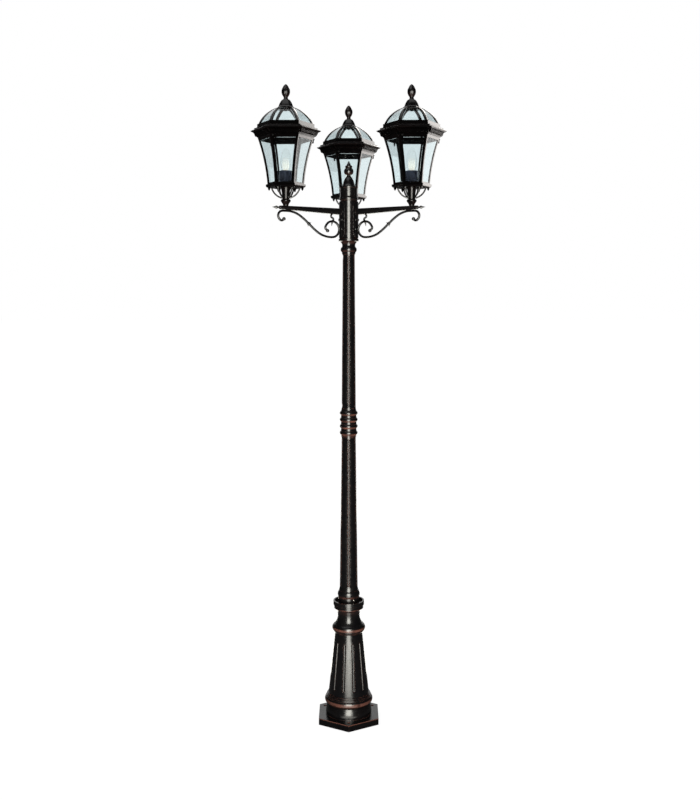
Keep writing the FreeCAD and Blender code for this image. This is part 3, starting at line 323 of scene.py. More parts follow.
# %% Six paints
FOOT_BANDS = ((0.0190, 0.0220, 0.60), (0.0650, 0.0775, 0.50), (0.3145, 0.3240, 0.50),
              (0.3866, 0.3888, 0.55))

ringed_paint = cast_paint("ringed_casting_paint", 0.95, 0.80, radius=RING_RADIUS)
foot_paint = cast_paint("pedestal_casting_paint", 0.80, 0.12, bands=FOOT_BANDS)
turned_paint = cast_paint("turned_casting_paint", 0.45, 0.15)
plain_paint = cast_paint("plain_casting_paint", 0.30, 0.0)
roof_paint = cast_paint("lantern_casting_paint", 0.35, 0.18, LANTERN_WARM)
bud_paint = cast_paint("bud_casting_paint", 0.60, 0.20, LANTERN_WARM)
print("paints", [material.name for material in bpy.data.materials if "paint" in material.name])

# %% [markdown]
# ## Glass
# The panes are drawn glass with a faint cyan tint. Real refraction shows the bevel round
# each pane, and a slow wave in the bump keeps the reflections from looking machine-made. A
# bulb is blown so thin that its wall hardly bends light, so its index is close to 1.

# %% Glass
PANE_TINT = (0.850, 0.925, 0.938)
BULB_TINT = (0.985, 0.985, 0.980)
PANE_INDEX = 1.45
BULB_INDEX = 1.045
SMEAR_NOISE = (9.0, 5.0, 0.6)
SMEAR_SHADE = 0.985
SMEAR_ROUGHNESS = 0.012
WAVE_NOISE = (11.0, 2.0, 0.4)
WAVE_DEPTH = 0.0006


def clear_glass(name, tint, wave, index):
    glass = Finish(name)
    smears = glass.noise(*SMEAR_NOISE)
    smeared = tuple(SMEAR_SHADE * part for part in tint)
    glass.link(glass.ramp(smears, (0.3, tint), (0.8, smeared)),
               glass.shader.inputs["Base Color"])
    glass.link(glass.span(smears, 0.35, 0.75, 0.0, SMEAR_ROUGHNESS),
               glass.shader.inputs["Roughness"])
    glass.bump(glass.noise(*WAVE_NOISE), wave, WAVE_DEPTH)
    glass.fixed(Transmission_Weight=1.0, IOR=index)
    return glass.material


pane_glass = clear_glass("pane_glass", PANE_TINT, 0.03, PANE_INDEX)
bulb_glass = clear_glass("bulb_glass", BULB_TINT, 0.02, BULB_INDEX)
print("glass", pane_glass.name, bulb_glass.name)

# %% [markdown]
# ## Plated metal and mouldings
# The screws, the tube and the bulb's brass cap are bare metal, so they get their colour from
# what they reflect, with a grain that follows the size of each part. The slate-grey
# lampholder and the pale terminal block are moulded, with a fine pitted skin. A sheen on the
# lampholder gives the powdery light that such mouldings show at their sides. Each finish has
# a darker and a lighter tone, and the grain's number is higher the finer it is.

# %% Plated metal and mouldings
GRAIN_STOPS = (0.3, 0.7)
METAL_ROUGHNESS = (0.22, 0.42)
METAL_PITS = (0.08, 0.0002)
MOULD_NOISE = (40.0, 5.0)
MOULD_SATIN_NOISE = (160.0, 3.0)
MOULD_SATIN_SPAN = 0.12
MOULD_PIT_NOISE = (700.0, 2.0)
MOULD_PITS = (0.12, 0.0003)
SHEEN_ROUGHNESS = 0.35
STEEL = ((0.30, 0.29, 0.27), (0.52, 0.50, 0.46))
ZINC = ((0.26, 0.26, 0.25), (0.42, 0.42, 0.40))
BRASS = ((0.52, 0.36, 0.16), (0.72, 0.53, 0.26))
SLATE = ((0.070, 0.074, 0.108), (0.094, 0.098, 0.140))
PALE_GREY = ((0.52, 0.50, 0.44), (0.62, 0.60, 0.54))


def two_tones(finish, noise, tones):
    """Base colour that runs from the darker to the lighter tone of a finish."""
    dark, light = zip(GRAIN_STOPS, tones)
    finish.link(finish.ramp(noise, dark, light), finish.shader.inputs["Base Color"])


def plated(name, tones, grain):
    metal = Finish(name)
    two_tones(metal, metal.noise(grain, 5.0, 0.6), tones)
    metal.link(metal.span(metal.noise(grain * 2, 3.0), *GRAIN_STOPS, *METAL_ROUGHNESS),
               metal.shader.inputs["Roughness"])
    metal.bump(metal.noise(grain * 6, 2.0), *METAL_PITS)
    metal.fixed(Metallic=1.0)
    return metal.material


def moulded(name, tones, rough, sheen=0.0):
    plastic = Finish(name)
    two_tones(plastic, plastic.noise(*MOULD_NOISE), tones)
    satin = plastic.span(plastic.noise(*MOULD_SATIN_NOISE), *GRAIN_STOPS,
                         rough, rough + MOULD_SATIN_SPAN)
    plastic.link(satin, plastic.shader.inputs["Roughness"])
    plastic.bump(plastic.noise(*MOULD_PIT_NOISE), *MOULD_PITS)
    plastic.fixed(Sheen_Weight=sheen, Sheen_Roughness=SHEEN_ROUGHNESS)
    return plastic.material


screw_metal = plated("plated_screw", STEEL, 120.0)
tube_metal = plated("plated_tube", ZINC, 60.0)
cap_brass = plated("bulb_cap_brass", BRASS, 90.0)
holder_slate = moulded("lampholder_slate", SLATE, 0.16, sheen=0.6)
block_pale = moulded("terminal_block_pale", PALE_GREY, 0.40)
print("plated and moulded finishes", len(bpy.data.materials))

# %% [markdown]
# ## The glow in the bulb
# In the photograph each bulb is cream near its cap and clears towards its tip. A lamp inside
# would light the whole lantern, which the photograph doesn't show. So a capsule inside the
# envelope is a painted glow: it gives off a little light of its own, though it is no lamp,
# and fades out with height.

# %% Glow
GLOW_FOOT = 0.010
GLOW_TOP = 0.047
GLOW_SOLID = 0.88
GLOW_STRENGTH = 0.62
GLOW_CREAM = (1.0, 0.96, 0.86)
GLOW_WHITE = (1.0, 0.99, 0.94)

capsule = Finish("glowing_capsule")
warmth = capsule.ramp(capsule.noise(60.0, 3.0), (0.3, GLOW_CREAM), (0.7, GLOW_WHITE))
capsule.link(warmth, capsule.shader.inputs["Base Color"])
# Painted glow: the capsule's cream colour is also given off as light, with no lamp behind it.
capsule.link(warmth, capsule.shader.inputs["Emission Color"])
fade = capsule.span(capsule.height(capsule.place), HOLDER_TOP + GLOW_FOOT,
                    HOLDER_TOP + GLOW_TOP, GLOW_SOLID, 0.0)
flicker = capsule.span(capsule.noise(130.0, 4.0), 0.2, 0.7, 0.8, 1.0)
capsule.link(capsule.maths("MULTIPLY", fade, flicker), capsule.shader.inputs["Alpha"])
capsule.fixed(Emission_Strength=GLOW_STRENGTH, Roughness=0.5, Specular_IOR_Level=0.2)
glow = capsule.material
print("glow fades over", round(1000 * (GLOW_TOP - GLOW_FOOT)), "mm")

# %% [markdown]
# ## Painting the carried-over castings
# The construction nodes keep their shape. Each gets the paint of its family: rubbed rings
# on the post, plain paint on the arms and scrolls, and the lantern paint on the heads.

# %% Paint the nodes
FAMILY = {
    "pedestal_casting": foot_paint, "lower_column": ringed_paint, "joint_collar": ringed_paint,
    "upper_column": ringed_paint, "hub": turned_paint, "hub_cap": turned_paint,
    "post_finial": turned_paint, "pedestal_set_screws": screw_metal,
    "column_nipple": tube_metal, "terminal_block": block_pale,
    "terminal_bracket": tube_metal, "bracket_screw": screw_metal,
    "arm_beam": plain_paint, "arm_bolts": plain_paint, "arm_tip": plain_paint,
    "arm_scroll": plain_paint, "lantern_stem": turned_paint, "stem_straps": plain_paint,
    "floor_ring": roof_paint, "cage_frame": roof_paint, "cage_panes": pane_glass,
    "roof_frame": roof_paint, "roof_panes": pane_glass, "roof_screws": screw_metal,
    "roof_cap": roof_paint, "roof_finial": plain_paint, "lampholder": holder_slate,
    "bulb": bulb_glass,
}


def family_of(node):
    for side in SIDES:
        node = node.removesuffix("_" + side)
    return node


for name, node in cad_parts.items():
    node.data.materials.clear()
    node.data.materials.append(FAMILY[family_of(name)])
print("painted", len(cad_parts), "nodes")

# %% [markdown]
# ## Tools for new pieces
# The pieces below are shaped with bmesh operators. A turned piece is an outline spun round
# the Z axis, a pane is a copy of its construction node with its loose triangles merged, and
# each finished piece keeps its place in its mesh and rides on the body that carries it.

# %% Piece tools
DOUBLES = 1e-6
NODE_DOUBLES = 1e-5
FLAT_ENOUGH = math.radians(0.4)


def curve_through(*knots, steps=8):
    """Outline points along Bezier arcs; each knot is (point, handle in, handle out)."""
    points = []
    for first, second in zip(knots, knots[1:]):
        ends = [Vector((*p, 0.0)) for p in (first[0], first[2], second[1], second[0])]
        arc = [p.to_2d() for p in interpolate_bezier(*ends, steps + 1)]
        points += arc if not points else arc[1:]
    return [tuple(p) for p in points]


def lathe(outline, steps):
    """Spin (radius, height) points round the Z axis into a closed skin."""
    shape = bmesh.new()
    points = [shape.verts.new((radius, 0.0, height)) for radius, height in outline]
    edges = [shape.edges.new(pair) for pair in zip(points, points[1:])]
    bmesh.ops.spin(shape, geom=points + edges, cent=(0, 0, 0), axis=(0, 0, 1),
                   angle=math.tau, steps=steps, use_merge=True)
    bmesh.ops.remove_doubles(shape, verts=shape.verts, dist=DOUBLES)
    bmesh.ops.recalc_face_normals(shape, faces=shape.faces)
    return shape


def merged_copy(node):
    """A node's surface with its loose triangles joined into whole faces."""
    shape = bmesh.new()
    shape.from_mesh(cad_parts[node].data)
    bmesh.ops.remove_doubles(shape, verts=shape.verts, dist=NODE_DOUBLES)
    bmesh.ops.dissolve_limit(shape, angle_limit=FLAT_ENOUGH, verts=shape.verts,
                             edges=shape.edges)
    return shape


def finished(shape, name, material, body, crease=35.0):
    """Turn a bmesh into a piece with crisp edges where faces meet at more than crease."""
    mesh = bpy.data.meshes.new(name)
    shape.to_mesh(mesh)
    shape.free()
    mesh.materials.append(material)
    mesh.shade_smooth()
    mesh.set_sharp_from_angle(angle=math.radians(crease))
    piece = bpy.data.objects.new(name, mesh)
    bpy.context.scene.collection.objects.link(piece)
    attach(piece, body)
    return piece


print("piece tools ready")

# %% [markdown]
# ## Panes
# A lantern pane is a bent strip of glass with its sharp arris ground off, so that it can be
# handled. The arris is what catches the light along each bar. A bevel on every sharp edge
# of the merged copy grinds it.

# %% Panes
ARRIS = 0.0007
SHARP_EDGE = math.radians(40)
PANE_CREASE = 6.0

for side in SIDES:
    for kind, body in (("cage_panes", "post"), ("roof_panes", f"roof_{side}")):
        glass = merged_copy(f"{kind}_{side}")
        sharp = [edge for edge in glass.edges
                 if len(edge.link_faces) == 2 and edge.calc_face_angle() > SHARP_EDGE]
        bmesh.ops.bevel(glass, geom=sharp, offset=ARRIS, segments=2, profile=0.5,
                        affect="EDGES", material=-1, clamp_overlap=True)
        piece = finished(glass, f"ground_{kind}_{side}", pane_glass, body,
                         PANE_CREASE)
        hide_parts(f"{kind}_{side}")
print("panes ground, for example", len(piece.data.polygons), "faces in one dome")

# %% [markdown]
# ## The bulb's envelope
# A candle bulb is a thin blown envelope on a screw cap. The envelope is one outline that
# goes up outside and comes down inside, so that the glass has a real wall and light bends
# through it twice. Its handles are given as shares of the bulb's radius and height, so that
# the same lines draw the outer and the inner skin.

# %% Envelope
BULB_WALL = 0.0007
BULB_R = radius_of("bulb_left")
CAP_LOW, BULB_TOP = heights_of("bulb_left")
BULB_H = BULB_TOP - HOLDER_TOP
NECK = 0.68
NECK_HANDLE = (0.74, 0.10)
BELLY_FROM, BELLY, BELLY_TO = 0.23, 0.37, 0.68
TIP_HANDLE = (0.50, 0.975)


def envelope_outline(back):
    """Half outline of the envelope, drawn in by a distance."""
    wide = BULB_R - back
    neck = ((NECK * wide, HOLDER_TOP), None,
            (NECK_HANDLE[0] * wide, HOLDER_TOP + NECK_HANDLE[1] * BULB_H))
    belly = ((wide, HOLDER_TOP + BELLY * BULB_H), (wide, HOLDER_TOP + BELLY_FROM * BULB_H),
             (wide, HOLDER_TOP + BELLY_TO * BULB_H))
    tip = ((0.0, BULB_TOP - back),
           (TIP_HANDLE[0] * wide, HOLDER_TOP + TIP_HANDLE[1] * BULB_H - back), None)
    return curve_through(neck, belly, tip, steps=12)


envelope = envelope_outline(0.0) + envelope_outline(BULB_WALL)[::-1]
print("bulbs", round(2000 * BULB_R, 1), "mm wide and", round(1000 * BULB_H), "mm tall")

# %% [markdown]
# ## The bulb's cap and capsule
# The cap's rolled thread is a zigzag in its outline, with a contact at the bottom. A real
# thread climbs, but under the lampholder's rim the difference can't be seen, and rings keep
# the spin simple. The capsule that glows is a soft egg shape on the cap.

# %% Cap and capsule
CAP_R = 0.0128
CONTACT_R = 0.45 * CAP_R
CONTACT_H = 0.0025
ROOT_R = 0.88 * CAP_R
COLLAR_R = 0.92 * CAP_R
COLLAR_H = 0.0005
THREADS = 5
THREAD_LOW = CAP_LOW + 0.004
THREAD_HIGH = HOLDER_TOP - 0.004
PITCH = (THREAD_HIGH - THREAD_LOW) / THREADS

thread = [(0.0, CAP_LOW), (CONTACT_R, CAP_LOW), (CONTACT_R, CAP_LOW + CONTACT_H)]
for turn in range(THREADS):
    thread += [(ROOT_R, THREAD_LOW + PITCH * turn), (CAP_R, THREAD_LOW + PITCH * (turn + 0.5))]
thread += [(ROOT_R, THREAD_HIGH), (COLLAR_R, HOLDER_TOP - COLLAR_H), (0.0, HOLDER_TOP)]

CAPSULE_R = 0.60 * BULB_R
CAPSULE_LOW = HOLDER_TOP + 0.001
CAPSULE_TOP = HOLDER_TOP + 0.80 * BULB_H
glow_outline = curve_through(
    ((0.0, CAPSULE_LOW), None, (0.9 * CAPSULE_R, CAPSULE_LOW)),
    ((CAPSULE_R, CAPSULE_LOW + 0.3 * BULB_H), (CAPSULE_R, CAPSULE_LOW + 0.1 * BULB_H),
     (CAPSULE_R, CAPSULE_LOW + 0.42 * BULB_H)),
    ((0.0, CAPSULE_TOP), (0.55 * CAPSULE_R, CAPSULE_TOP), None), steps=8)
print("thread of", THREADS, "turns,", round(1000 * PITCH, 2), "mm apart")

# %% [markdown]
# ## Turning the bulbs
# Three outlines, three spins for each lantern. All three pieces ride on the bulb's own body,
# so that they rise together when the bulb is drawn.

# %% Bulbs
BULB_STEPS = 40

for side in SIDES:
    for name, outline, material in (("envelope", envelope, bulb_glass),
                                    ("screw_cap", thread, cap_brass),
                                    ("capsule", glow_outline, glow)):
        turned = lathe(outline, BULB_STEPS)
        bmesh.ops.translate(turned, verts=turned.verts, vec=AXIS[side])
        piece = finished(turned, f"bulb_{name}_{side}", material, f"bulb_unit_{side}")
        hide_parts(f"bulb_{side}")
print("bulbs turned in", len(SIDES), "lanterns")

# %% [markdown]
# ## Ribbed lampholders
# The moulded lampholder has fine upright ribs for grip. They come from a spin with many
# steps whose vertices are then drawn in where a groove runs, which is quicker than cutting
# each groove, and the socket for the bulb is part of the same outline.

# %% Lampholders
HOLDER_R = radius_of("lampholder_left")
HOLDER_BORE_R = 0.0036
SOCKET_R = 0.0133
SOCKET_LOW = CAP_LOW - 0.0003
RIM = 0.0015
RIBS_FROM = (0.006, 0.007)
RIBS_TO = (0.008, 0.007)
RIBS = 24
RIB_DEPTH = 0.0005
STEPS_PER_RIB = 4
GROOVE = (0.3, 0.7)
OUTER_SKIN = 0.9
GROOVES_LOW = HOLDER_LOW + 0.0065
GROOVES_HIGH = HOLDER_TOP - 0.0075

holder_outline = [(HOLDER_BORE_R, HOLDER_LOW), (HOLDER_R, HOLDER_LOW)]
holder_outline += [(HOLDER_R, HOLDER_LOW + rise) for rise in RIBS_FROM]
holder_outline += [(HOLDER_R, HOLDER_TOP - drop) for drop in RIBS_TO]
holder_outline += [(HOLDER_R, HOLDER_TOP - RIM), (HOLDER_R - RIM, HOLDER_TOP),
                   (SOCKET_R, HOLDER_TOP), (SOCKET_R, SOCKET_LOW),
                   (HOLDER_BORE_R, SOCKET_LOW), (HOLDER_BORE_R, HOLDER_LOW)]


def in_groove(place):
    """Whether a vertex of the lampholder's outer skin lies in a groove between ribs."""
    if not GROOVES_LOW < place.z < GROOVES_HIGH or place.xy.length < OUTER_SKIN * HOLDER_R:
        return False
    turn = math.atan2(place.y, place.x) * RIBS / math.tau % 1.0
    return GROOVE[0] < turn < GROOVE[1]


for side in SIDES:
    holder = lathe(holder_outline, RIBS * STEPS_PER_RIB)
    for vert in holder.verts:
        if in_groove(vert.co):
            vert.co.xy *= 1 - RIB_DEPTH / HOLDER_R
    bmesh.ops.translate(holder, verts=holder.verts, vec=AXIS[side])
    piece = finished(holder, f"ribbed_lampholder_{side}", holder_slate, "post", 25.0)
    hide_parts(f"lampholder_{side}")
print("lampholders with", RIBS, "ribs")

# %% [markdown]
# ## The bud's outline
# The finial of each roof is a closed bud on a short stalk, whose stud goes down through the
# roof cap. The bud could be sculpted leaf by leaf, but at 20 mm across the outline says most
# of it, so it starts as a spun shape.

# %% Bud outline
BUD_LOW, BUD_TOP = heights_of("roof_finial_left")
BUD_R = radius_of("roof_finial_left")
CAP_TOP = heights_of("roof_cap_left")[1]
BUD_FOOT = CAP_TOP + 0.009
BUD_H = BUD_TOP - BUD_FOOT
BUD_FOOT_R = 0.0074
BUD_FOOT_HANDLE = (0.0105, 0.004)
BUD_BELLY_FROM, BUD_BELLY, BUD_BELLY_TO = 0.22, 0.42, 0.66
BUD_TIP_HANDLE = (0.0085, 0.94)
STALK = ((0.0090, 0.0), (0.0095, 0.0012), (0.0078, 0.003), (0.0072, 0.006))
STUD_R = 0.003

bud_outline = [(0.0, BUD_LOW), (STUD_R, BUD_LOW), (STUD_R, CAP_TOP)]
bud_outline += [(radius, CAP_TOP + rise) for radius, rise in STALK]
bud_outline += curve_through(
    ((BUD_FOOT_R, BUD_FOOT), None, (BUD_FOOT_HANDLE[0], BUD_FOOT + BUD_FOOT_HANDLE[1])),
    ((BUD_R, BUD_FOOT + BUD_BELLY * BUD_H), (BUD_R, BUD_FOOT + BUD_BELLY_FROM * BUD_H),
     (BUD_R, BUD_FOOT + BUD_BELLY_TO * BUD_H)),
    ((0.0, BUD_TOP), (BUD_TIP_HANDLE[0], BUD_FOOT + BUD_TIP_HANDLE[1] * BUD_H), None),
    steps=14)
print("buds", round(1000 * BUD_H), "mm tall")

# %% [markdown]
# ## The bud's petals
# Two tiers of six petals close round the bud. Its vertices are drawn in between the petals,
# and the lower tier ends in pointed tips over the upper one, as clay would be modelled for
# the casting. The relief fades out at the foot and at the tip, where the petals meet.

# %% Petals
PETALS = 6
PETAL_RELIEF = 0.13
PETAL_STEP = 0.05
PETAL_FULLNESS = 0.7
LOWER_TIER = 0.30
LOWER_TIPS = 0.36
FADE_FOOT = 0.12
FADE_TIP = 0.10
BUD_STEPS = 60


def petal(angle, rise):
    """Share of the full radius at a place on the bud."""
    lower = abs(math.cos(angle * PETALS / 2)) ** PETAL_FULLNESS
    upper = abs(math.sin(angle * PETALS / 2)) ** PETAL_FULLNESS
    fade = min(1.0, rise / FADE_FOOT, (1.0 - rise) / FADE_TIP)
    if rise < LOWER_TIER + LOWER_TIPS * lower:
        return 1.0 - fade * PETAL_RELIEF * (1.0 - lower)
    return 1.0 - fade * (PETAL_STEP + PETAL_RELIEF * (1.0 - upper))


for side in SIDES:
    bud = lathe(bud_outline, BUD_STEPS)
    for vert in bud.verts:
        rise = (vert.co.z - BUD_FOOT) / BUD_H
        if rise > 0.0:
            vert.co.xy *= petal(math.atan2(vert.co.y, vert.co.x), rise)
    bmesh.ops.translate(bud, verts=bud.verts, vec=AXIS[side])
    piece = finished(bud, f"petal_bud_{side}", bud_paint, f"roof_{side}", 50.0)
    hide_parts(f"roof_finial_{side}")
print("buds with", 2 * PETALS, "petals")

# %% [markdown]
# ## A slotted screw head
# Three slotted set screws lock the column in its socket. A slot could be cut with a boolean,
# but two half discs with a gap between them give the same slot with cleaner faces. Each half
# is a spun dome cut by a plane and closed again.

# %% Slotted head
HEAD_STEPS = 28
DOME_POINTS = 10
DOME_RIM = 0.35


def slotted_head(radius, foot, top, slot_half):
    """The two halves of a domed screw head, with the slot between them."""
    turns = [math.radians(90 / DOME_POINTS * point) for point in range(DOME_POINTS)]
    outline = [(0.0, foot), (radius, foot)]
    outline += [(radius * math.cos(turn),
                 foot + (top - foot) * (DOME_RIM + (1 - DOME_RIM) * math.sin(turn)))
                for turn in turns]
    halves = bmesh.new()
    for half_side in (-1, 1):
        half = lathe(outline + [(0.0, top)], HEAD_STEPS)
        whole = half.verts[:] + half.edges[:] + half.faces[:]
        bmesh.ops.bisect_plane(half, geom=whole, plane_co=(0, slot_half * half_side, 0),
                               plane_no=(0, -half_side, 0), clear_outer=True)
        bmesh.ops.holes_fill(half, edges=half.edges)
        mesh = bpy.data.meshes.new("half_head")
        half.to_mesh(mesh)
        half.free()
        halves.from_mesh(mesh)
        bpy.data.meshes.remove(mesh)
    return halves


print("slotted heads are domed in", DOME_POINTS, "steps")

# %% [markdown]
# ## Set screws
# One screw is made upright, laid down to point outwards, and copied twice round the post.
# Turning a finished screw keeps the three alike, as they come from one box of screws.

# %% Set screws
SOCKET_Z = middle_of("pedestal_set_screws").z
SCREW_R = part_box("pedestal_set_screws")[1].z - SOCKET_Z
SCREW_END = -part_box("pedestal_set_screws")[0].x
SLOT_HALF = 0.0005
SLOT_DEPTH = 0.0014
SHANK = 0.006
FIRST_SCREW = 60
OTHER_SCREWS = (120, 240)

screws = slotted_head(SCREW_R, SCREW_END - SLOT_DEPTH, SCREW_END, SLOT_HALF)
shank_middle = SCREW_END - SLOT_DEPTH - SHANK / 2
bmesh.ops.create_cone(screws, cap_ends=True, segments=HEAD_STEPS, radius1=SCREW_R,
                      radius2=SCREW_R, depth=SHANK,
                      matrix=Matrix.Translation((0, 0, shank_middle)))
single = screws.verts[:] + screws.edges[:] + screws.faces[:]
for degrees, axis in ((90, "Y"), (FIRST_SCREW, "Z")):
    bmesh.ops.rotate(screws, verts=screws.verts,
                     matrix=Matrix.Rotation(math.radians(degrees), 3, axis))
bmesh.ops.translate(screws, verts=screws.verts, vec=(0, 0, SOCKET_Z))
for degrees in OTHER_SCREWS:
    copied = bmesh.ops.duplicate(screws, geom=single)["geom"]
    bmesh.ops.rotate(screws, matrix=Matrix.Rotation(math.radians(degrees), 3, "Z"),
                     verts=[item for item in copied if isinstance(item, bmesh.types.BMVert)])
bmesh.ops.recalc_face_normals(screws, faces=screws.faces)
piece = finished(screws, "slotted_set_screws", screw_metal, "post", 30.0)
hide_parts("pedestal_set_screws")
print("set screws", round(2000 * SCREW_R, 1), "mm at", round(SOCKET_Z, 4))

# %% [markdown]
# ## Crown nuts
# Under each crown a hexagon nut on a washer holds the finial's stud, and it can be seen
# through the dome from below. Washer, nut and stud end are a stack of prisms with 36, 6 and
# 20 sides, each as deep as its part and hung one under the other.

# %% Crown nuts
CROWN_LOW = heights_of("roof_panes_left")[1]
WASHER_R, WASHER_H = 0.0105, 0.0014
NUT_R, NUT_H = 0.0075, 0.0050
STUD_END = 0.002
STACK = ((WASHER_R, 36, WASHER_H), (NUT_R, 6, NUT_H), (STUD_R, 20, STUD_END))

for side in SIDES:
    nut = bmesh.new()
    below = 0.0
    for radius, sides, depth in STACK:
        place = Matrix.Translation((0, 0, CROWN_LOW - below - depth / 2))
        bmesh.ops.create_cone(nut, cap_ends=True, segments=sides, radius1=radius,
                              radius2=radius, depth=depth, matrix=place)
        below += depth
    bmesh.ops.translate(nut, verts=nut.verts, vec=AXIS[side])
    finished(nut, f"crown_nut_{side}", screw_metal, f"roof_{side}", 30.0)
print("crown nuts hang", round(1000 * below, 1), "mm under", round(CROWN_LOW, 4))

# %% [markdown]
# ## Gadroons under the cornice
# The hollow moulding under each cornice carries a row of slanted, leaf-shaped swellings,
# called gadroons. One swelling is a squashed sphere of a few dozen faces. It is turned to
# lie in the moulding, leant over, and repeated along all six sides.

# %% Gadroons
COVE_NEAR = 0.0905
COVE_FAR = 0.0985
COVE_RISE = 0.0155
COVE_FOOT = 0.0035
COVE_SLOPE = math.atan2(COVE_FAR - COVE_NEAR, COVE_RISE)
ROW_LENGTH = 0.101
GADROONS = 13
GADROON_LEAN = math.radians(24)
GADROON_SIZE = (0.0022, 0.0027, 0.0086)
GADROON_SUNK = 0.0008
GADROON_OUT = (COVE_NEAR + COVE_FAR) / 2 - GADROON_SUNK
GADROON_Z = CAGE_TOP + COVE_FOOT + COVE_RISE / 2

for side in SIDES:
    row = bmesh.new()
    for face in range(6):
        for number in range(GADROONS):
            along = ((number + 0.5) / GADROONS - 0.5) * ROW_LENGTH
            lie = (Matrix.Rotation(math.radians(30 + 60 * face), 4, "Z")
                   @ Matrix.Translation((GADROON_OUT, along, GADROON_Z))
                   @ Matrix.Rotation(COVE_SLOPE, 4, "Y")
                   @ Matrix.Rotation(GADROON_LEAN, 4, "X")
                   @ Matrix.Diagonal((*GADROON_SIZE, 1.0)))
            bmesh.ops.create_uvsphere(row, u_segments=8, v_segments=6, radius=1.0, matrix=lie)
    bmesh.ops.translate(row, verts=row.verts, vec=AXIS[side])
    finished(row, f"cornice_gadroons_{side}", roof_paint, f"roof_{side}", 60.0)
print("gadroons", 6 * GADROONS, "on each lantern")

# %% [markdown]
# ## Who sees white
# The photograph's post stands on plain white. If that white were light, the black gloss
# would turn grey. So floor and room are white only for rays that the camera sends straight
# at them or straight through glass, which Light Path tells apart: a ray that was reflected
# on its way has a Glossy Depth of one or more.

# %% Stage nodes
WHITE = (1, 1, 1, 1)
HALF_A_BOUNCE = 0.5


def wired(tree, kind, *feeds, **settings):
    """A node's first output; its first inputs are linked to sockets or set to values."""
    made = tree.nodes.new(kind)
    for key, value in settings.items():
        setattr(made, key, value)
    for socket, feed in zip(made.inputs, feeds):
        if isinstance(feed, bpy.types.NodeSocket):
            tree.links.new(feed, socket)
        else:
            socket.default_value = feed
    return made.outputs[0] if made.outputs else None


def seen_straight(tree, path):
    """One for a camera ray, and for one that came through glass without a reflection."""
    unreflected = wired(tree, "ShaderNodeMath", path["Glossy Depth"], HALF_A_BOUNCE,
                        operation="LESS_THAN")
    through_glass = wired(tree, "ShaderNodeMath", unreflected, path["Is Transmission Ray"],
                          operation="MULTIPLY")
    return wired(tree, "ShaderNodeMath", path["Is Camera Ray"], through_glass,
                 operation="MAXIMUM")


print("stage tools ready")

# %% [markdown]
# ## Floor
# The floor is a large sheet of pale paper. It keeps the soft shadow of the post through its
# diffuse part, and the rays described above see it glow up to white. It lies half a
# millimetre under the foot, so that the two don't share a plane.

# %% Floor
FLOOR_SIZE = 60.0
FLOOR_DROP = 0.0005
FLOOR_GLOW = 0.90
PAPER_GREY = (0.36, 0.36, 0.36, 1)

floor_mesh = bpy.data.meshes.new("studio_floor")
sheet = bmesh.new()
bmesh.ops.create_grid(sheet, x_segments=1, y_segments=1, size=FLOOR_SIZE)
sheet.to_mesh(floor_mesh)
sheet.free()
floor = bpy.data.objects.new("studio_floor", floor_mesh)
floor.location.z = -FLOOR_DROP
bpy.context.scene.collection.objects.link(floor)

paper = bpy.data.materials.new("studio_paper")
paper.use_nodes = True
tree = paper.node_tree
tree.nodes.clear()
path = tree.nodes.new("ShaderNodeLightPath").outputs
brightness = wired(tree, "ShaderNodeMath", seen_straight(tree, path), FLOOR_GLOW,
                   operation="MULTIPLY")
glow_white = wired(tree, "ShaderNodeEmission", WHITE, brightness)
pale_paper = wired(tree, "ShaderNodeBsdfDiffuse", PAPER_GREY)
wired(tree, "ShaderNodeOutputMaterial",
      wired(tree, "ShaderNodeAddShader", pale_paper, glow_white))
paper.cycles.emission_sampling = "NONE"
floor_mesh.materials.append(paper)
print("floor", 2 * FLOOR_SIZE, "m wide")

# %% [markdown]
# ## Room
# The world has three faces. It is white to rays that see straight, gentle as a source of
# light so that the paint stays black, and almost dark to gloss. Only far behind the post
# does gloss find a white wall, and that gives round pieces their thin bright rims.

# %% Room
WORLD_LIGHT = 0.30
ROOM_GLOSS = 0.03
BACKDROP_EDGE = (0.72, 0.92)

world = bpy.data.worlds.new("studio_world")
bpy.context.scene.world = world
world.use_nodes = True
world.cycles.sampling_method = "NONE"
tree = world.node_tree
tree.nodes.clear()
path = tree.nodes.new("ShaderNodeLightPath").outputs
direction = tree.nodes.new("ShaderNodeSeparateXYZ")
tree.links.new(tree.nodes.new("ShaderNodeTexCoord").outputs["Object"], direction.inputs[0])
wall_glow = wired(tree, "ShaderNodeMapRange", direction.outputs["Y"], *BACKDROP_EDGE,
                  ROOM_GLOSS, 1.0)
soft_light = wired(tree, "ShaderNodeBackground", WHITE, WORLD_LIGHT)
white_wall = wired(tree, "ShaderNodeBackground", WHITE, 1.0)
gloss_wall = wired(tree, "ShaderNodeBackground", WHITE, wall_glow)
reflected = wired(tree, "ShaderNodeMath", path["Glossy Depth"], HALF_A_BOUNCE,
                  operation="GREATER_THAN")
unseen = wired(tree, "ShaderNodeMixShader", reflected, soft_light, gloss_wall)
room = wired(tree, "ShaderNodeMixShader", seen_straight(tree, path), unseen, white_wall)
wired(tree, "ShaderNodeOutputWorld", room)
print("room lights with", WORLD_LIGHT)

# %% [markdown]
# ## Tools for lamps
# In the photograph the lanterns have other highlights than the post, as if they had been
# photographed on their own. Light linking copies that: a lamp gets a group of pieces, which
# it either lights alone or leaves out. The camera doesn't see the lamps, and they aren't
# seen through glass, because a pale square in a pane would give the studio away.

# %% Lamp tools
STRIP_Z = 0.01


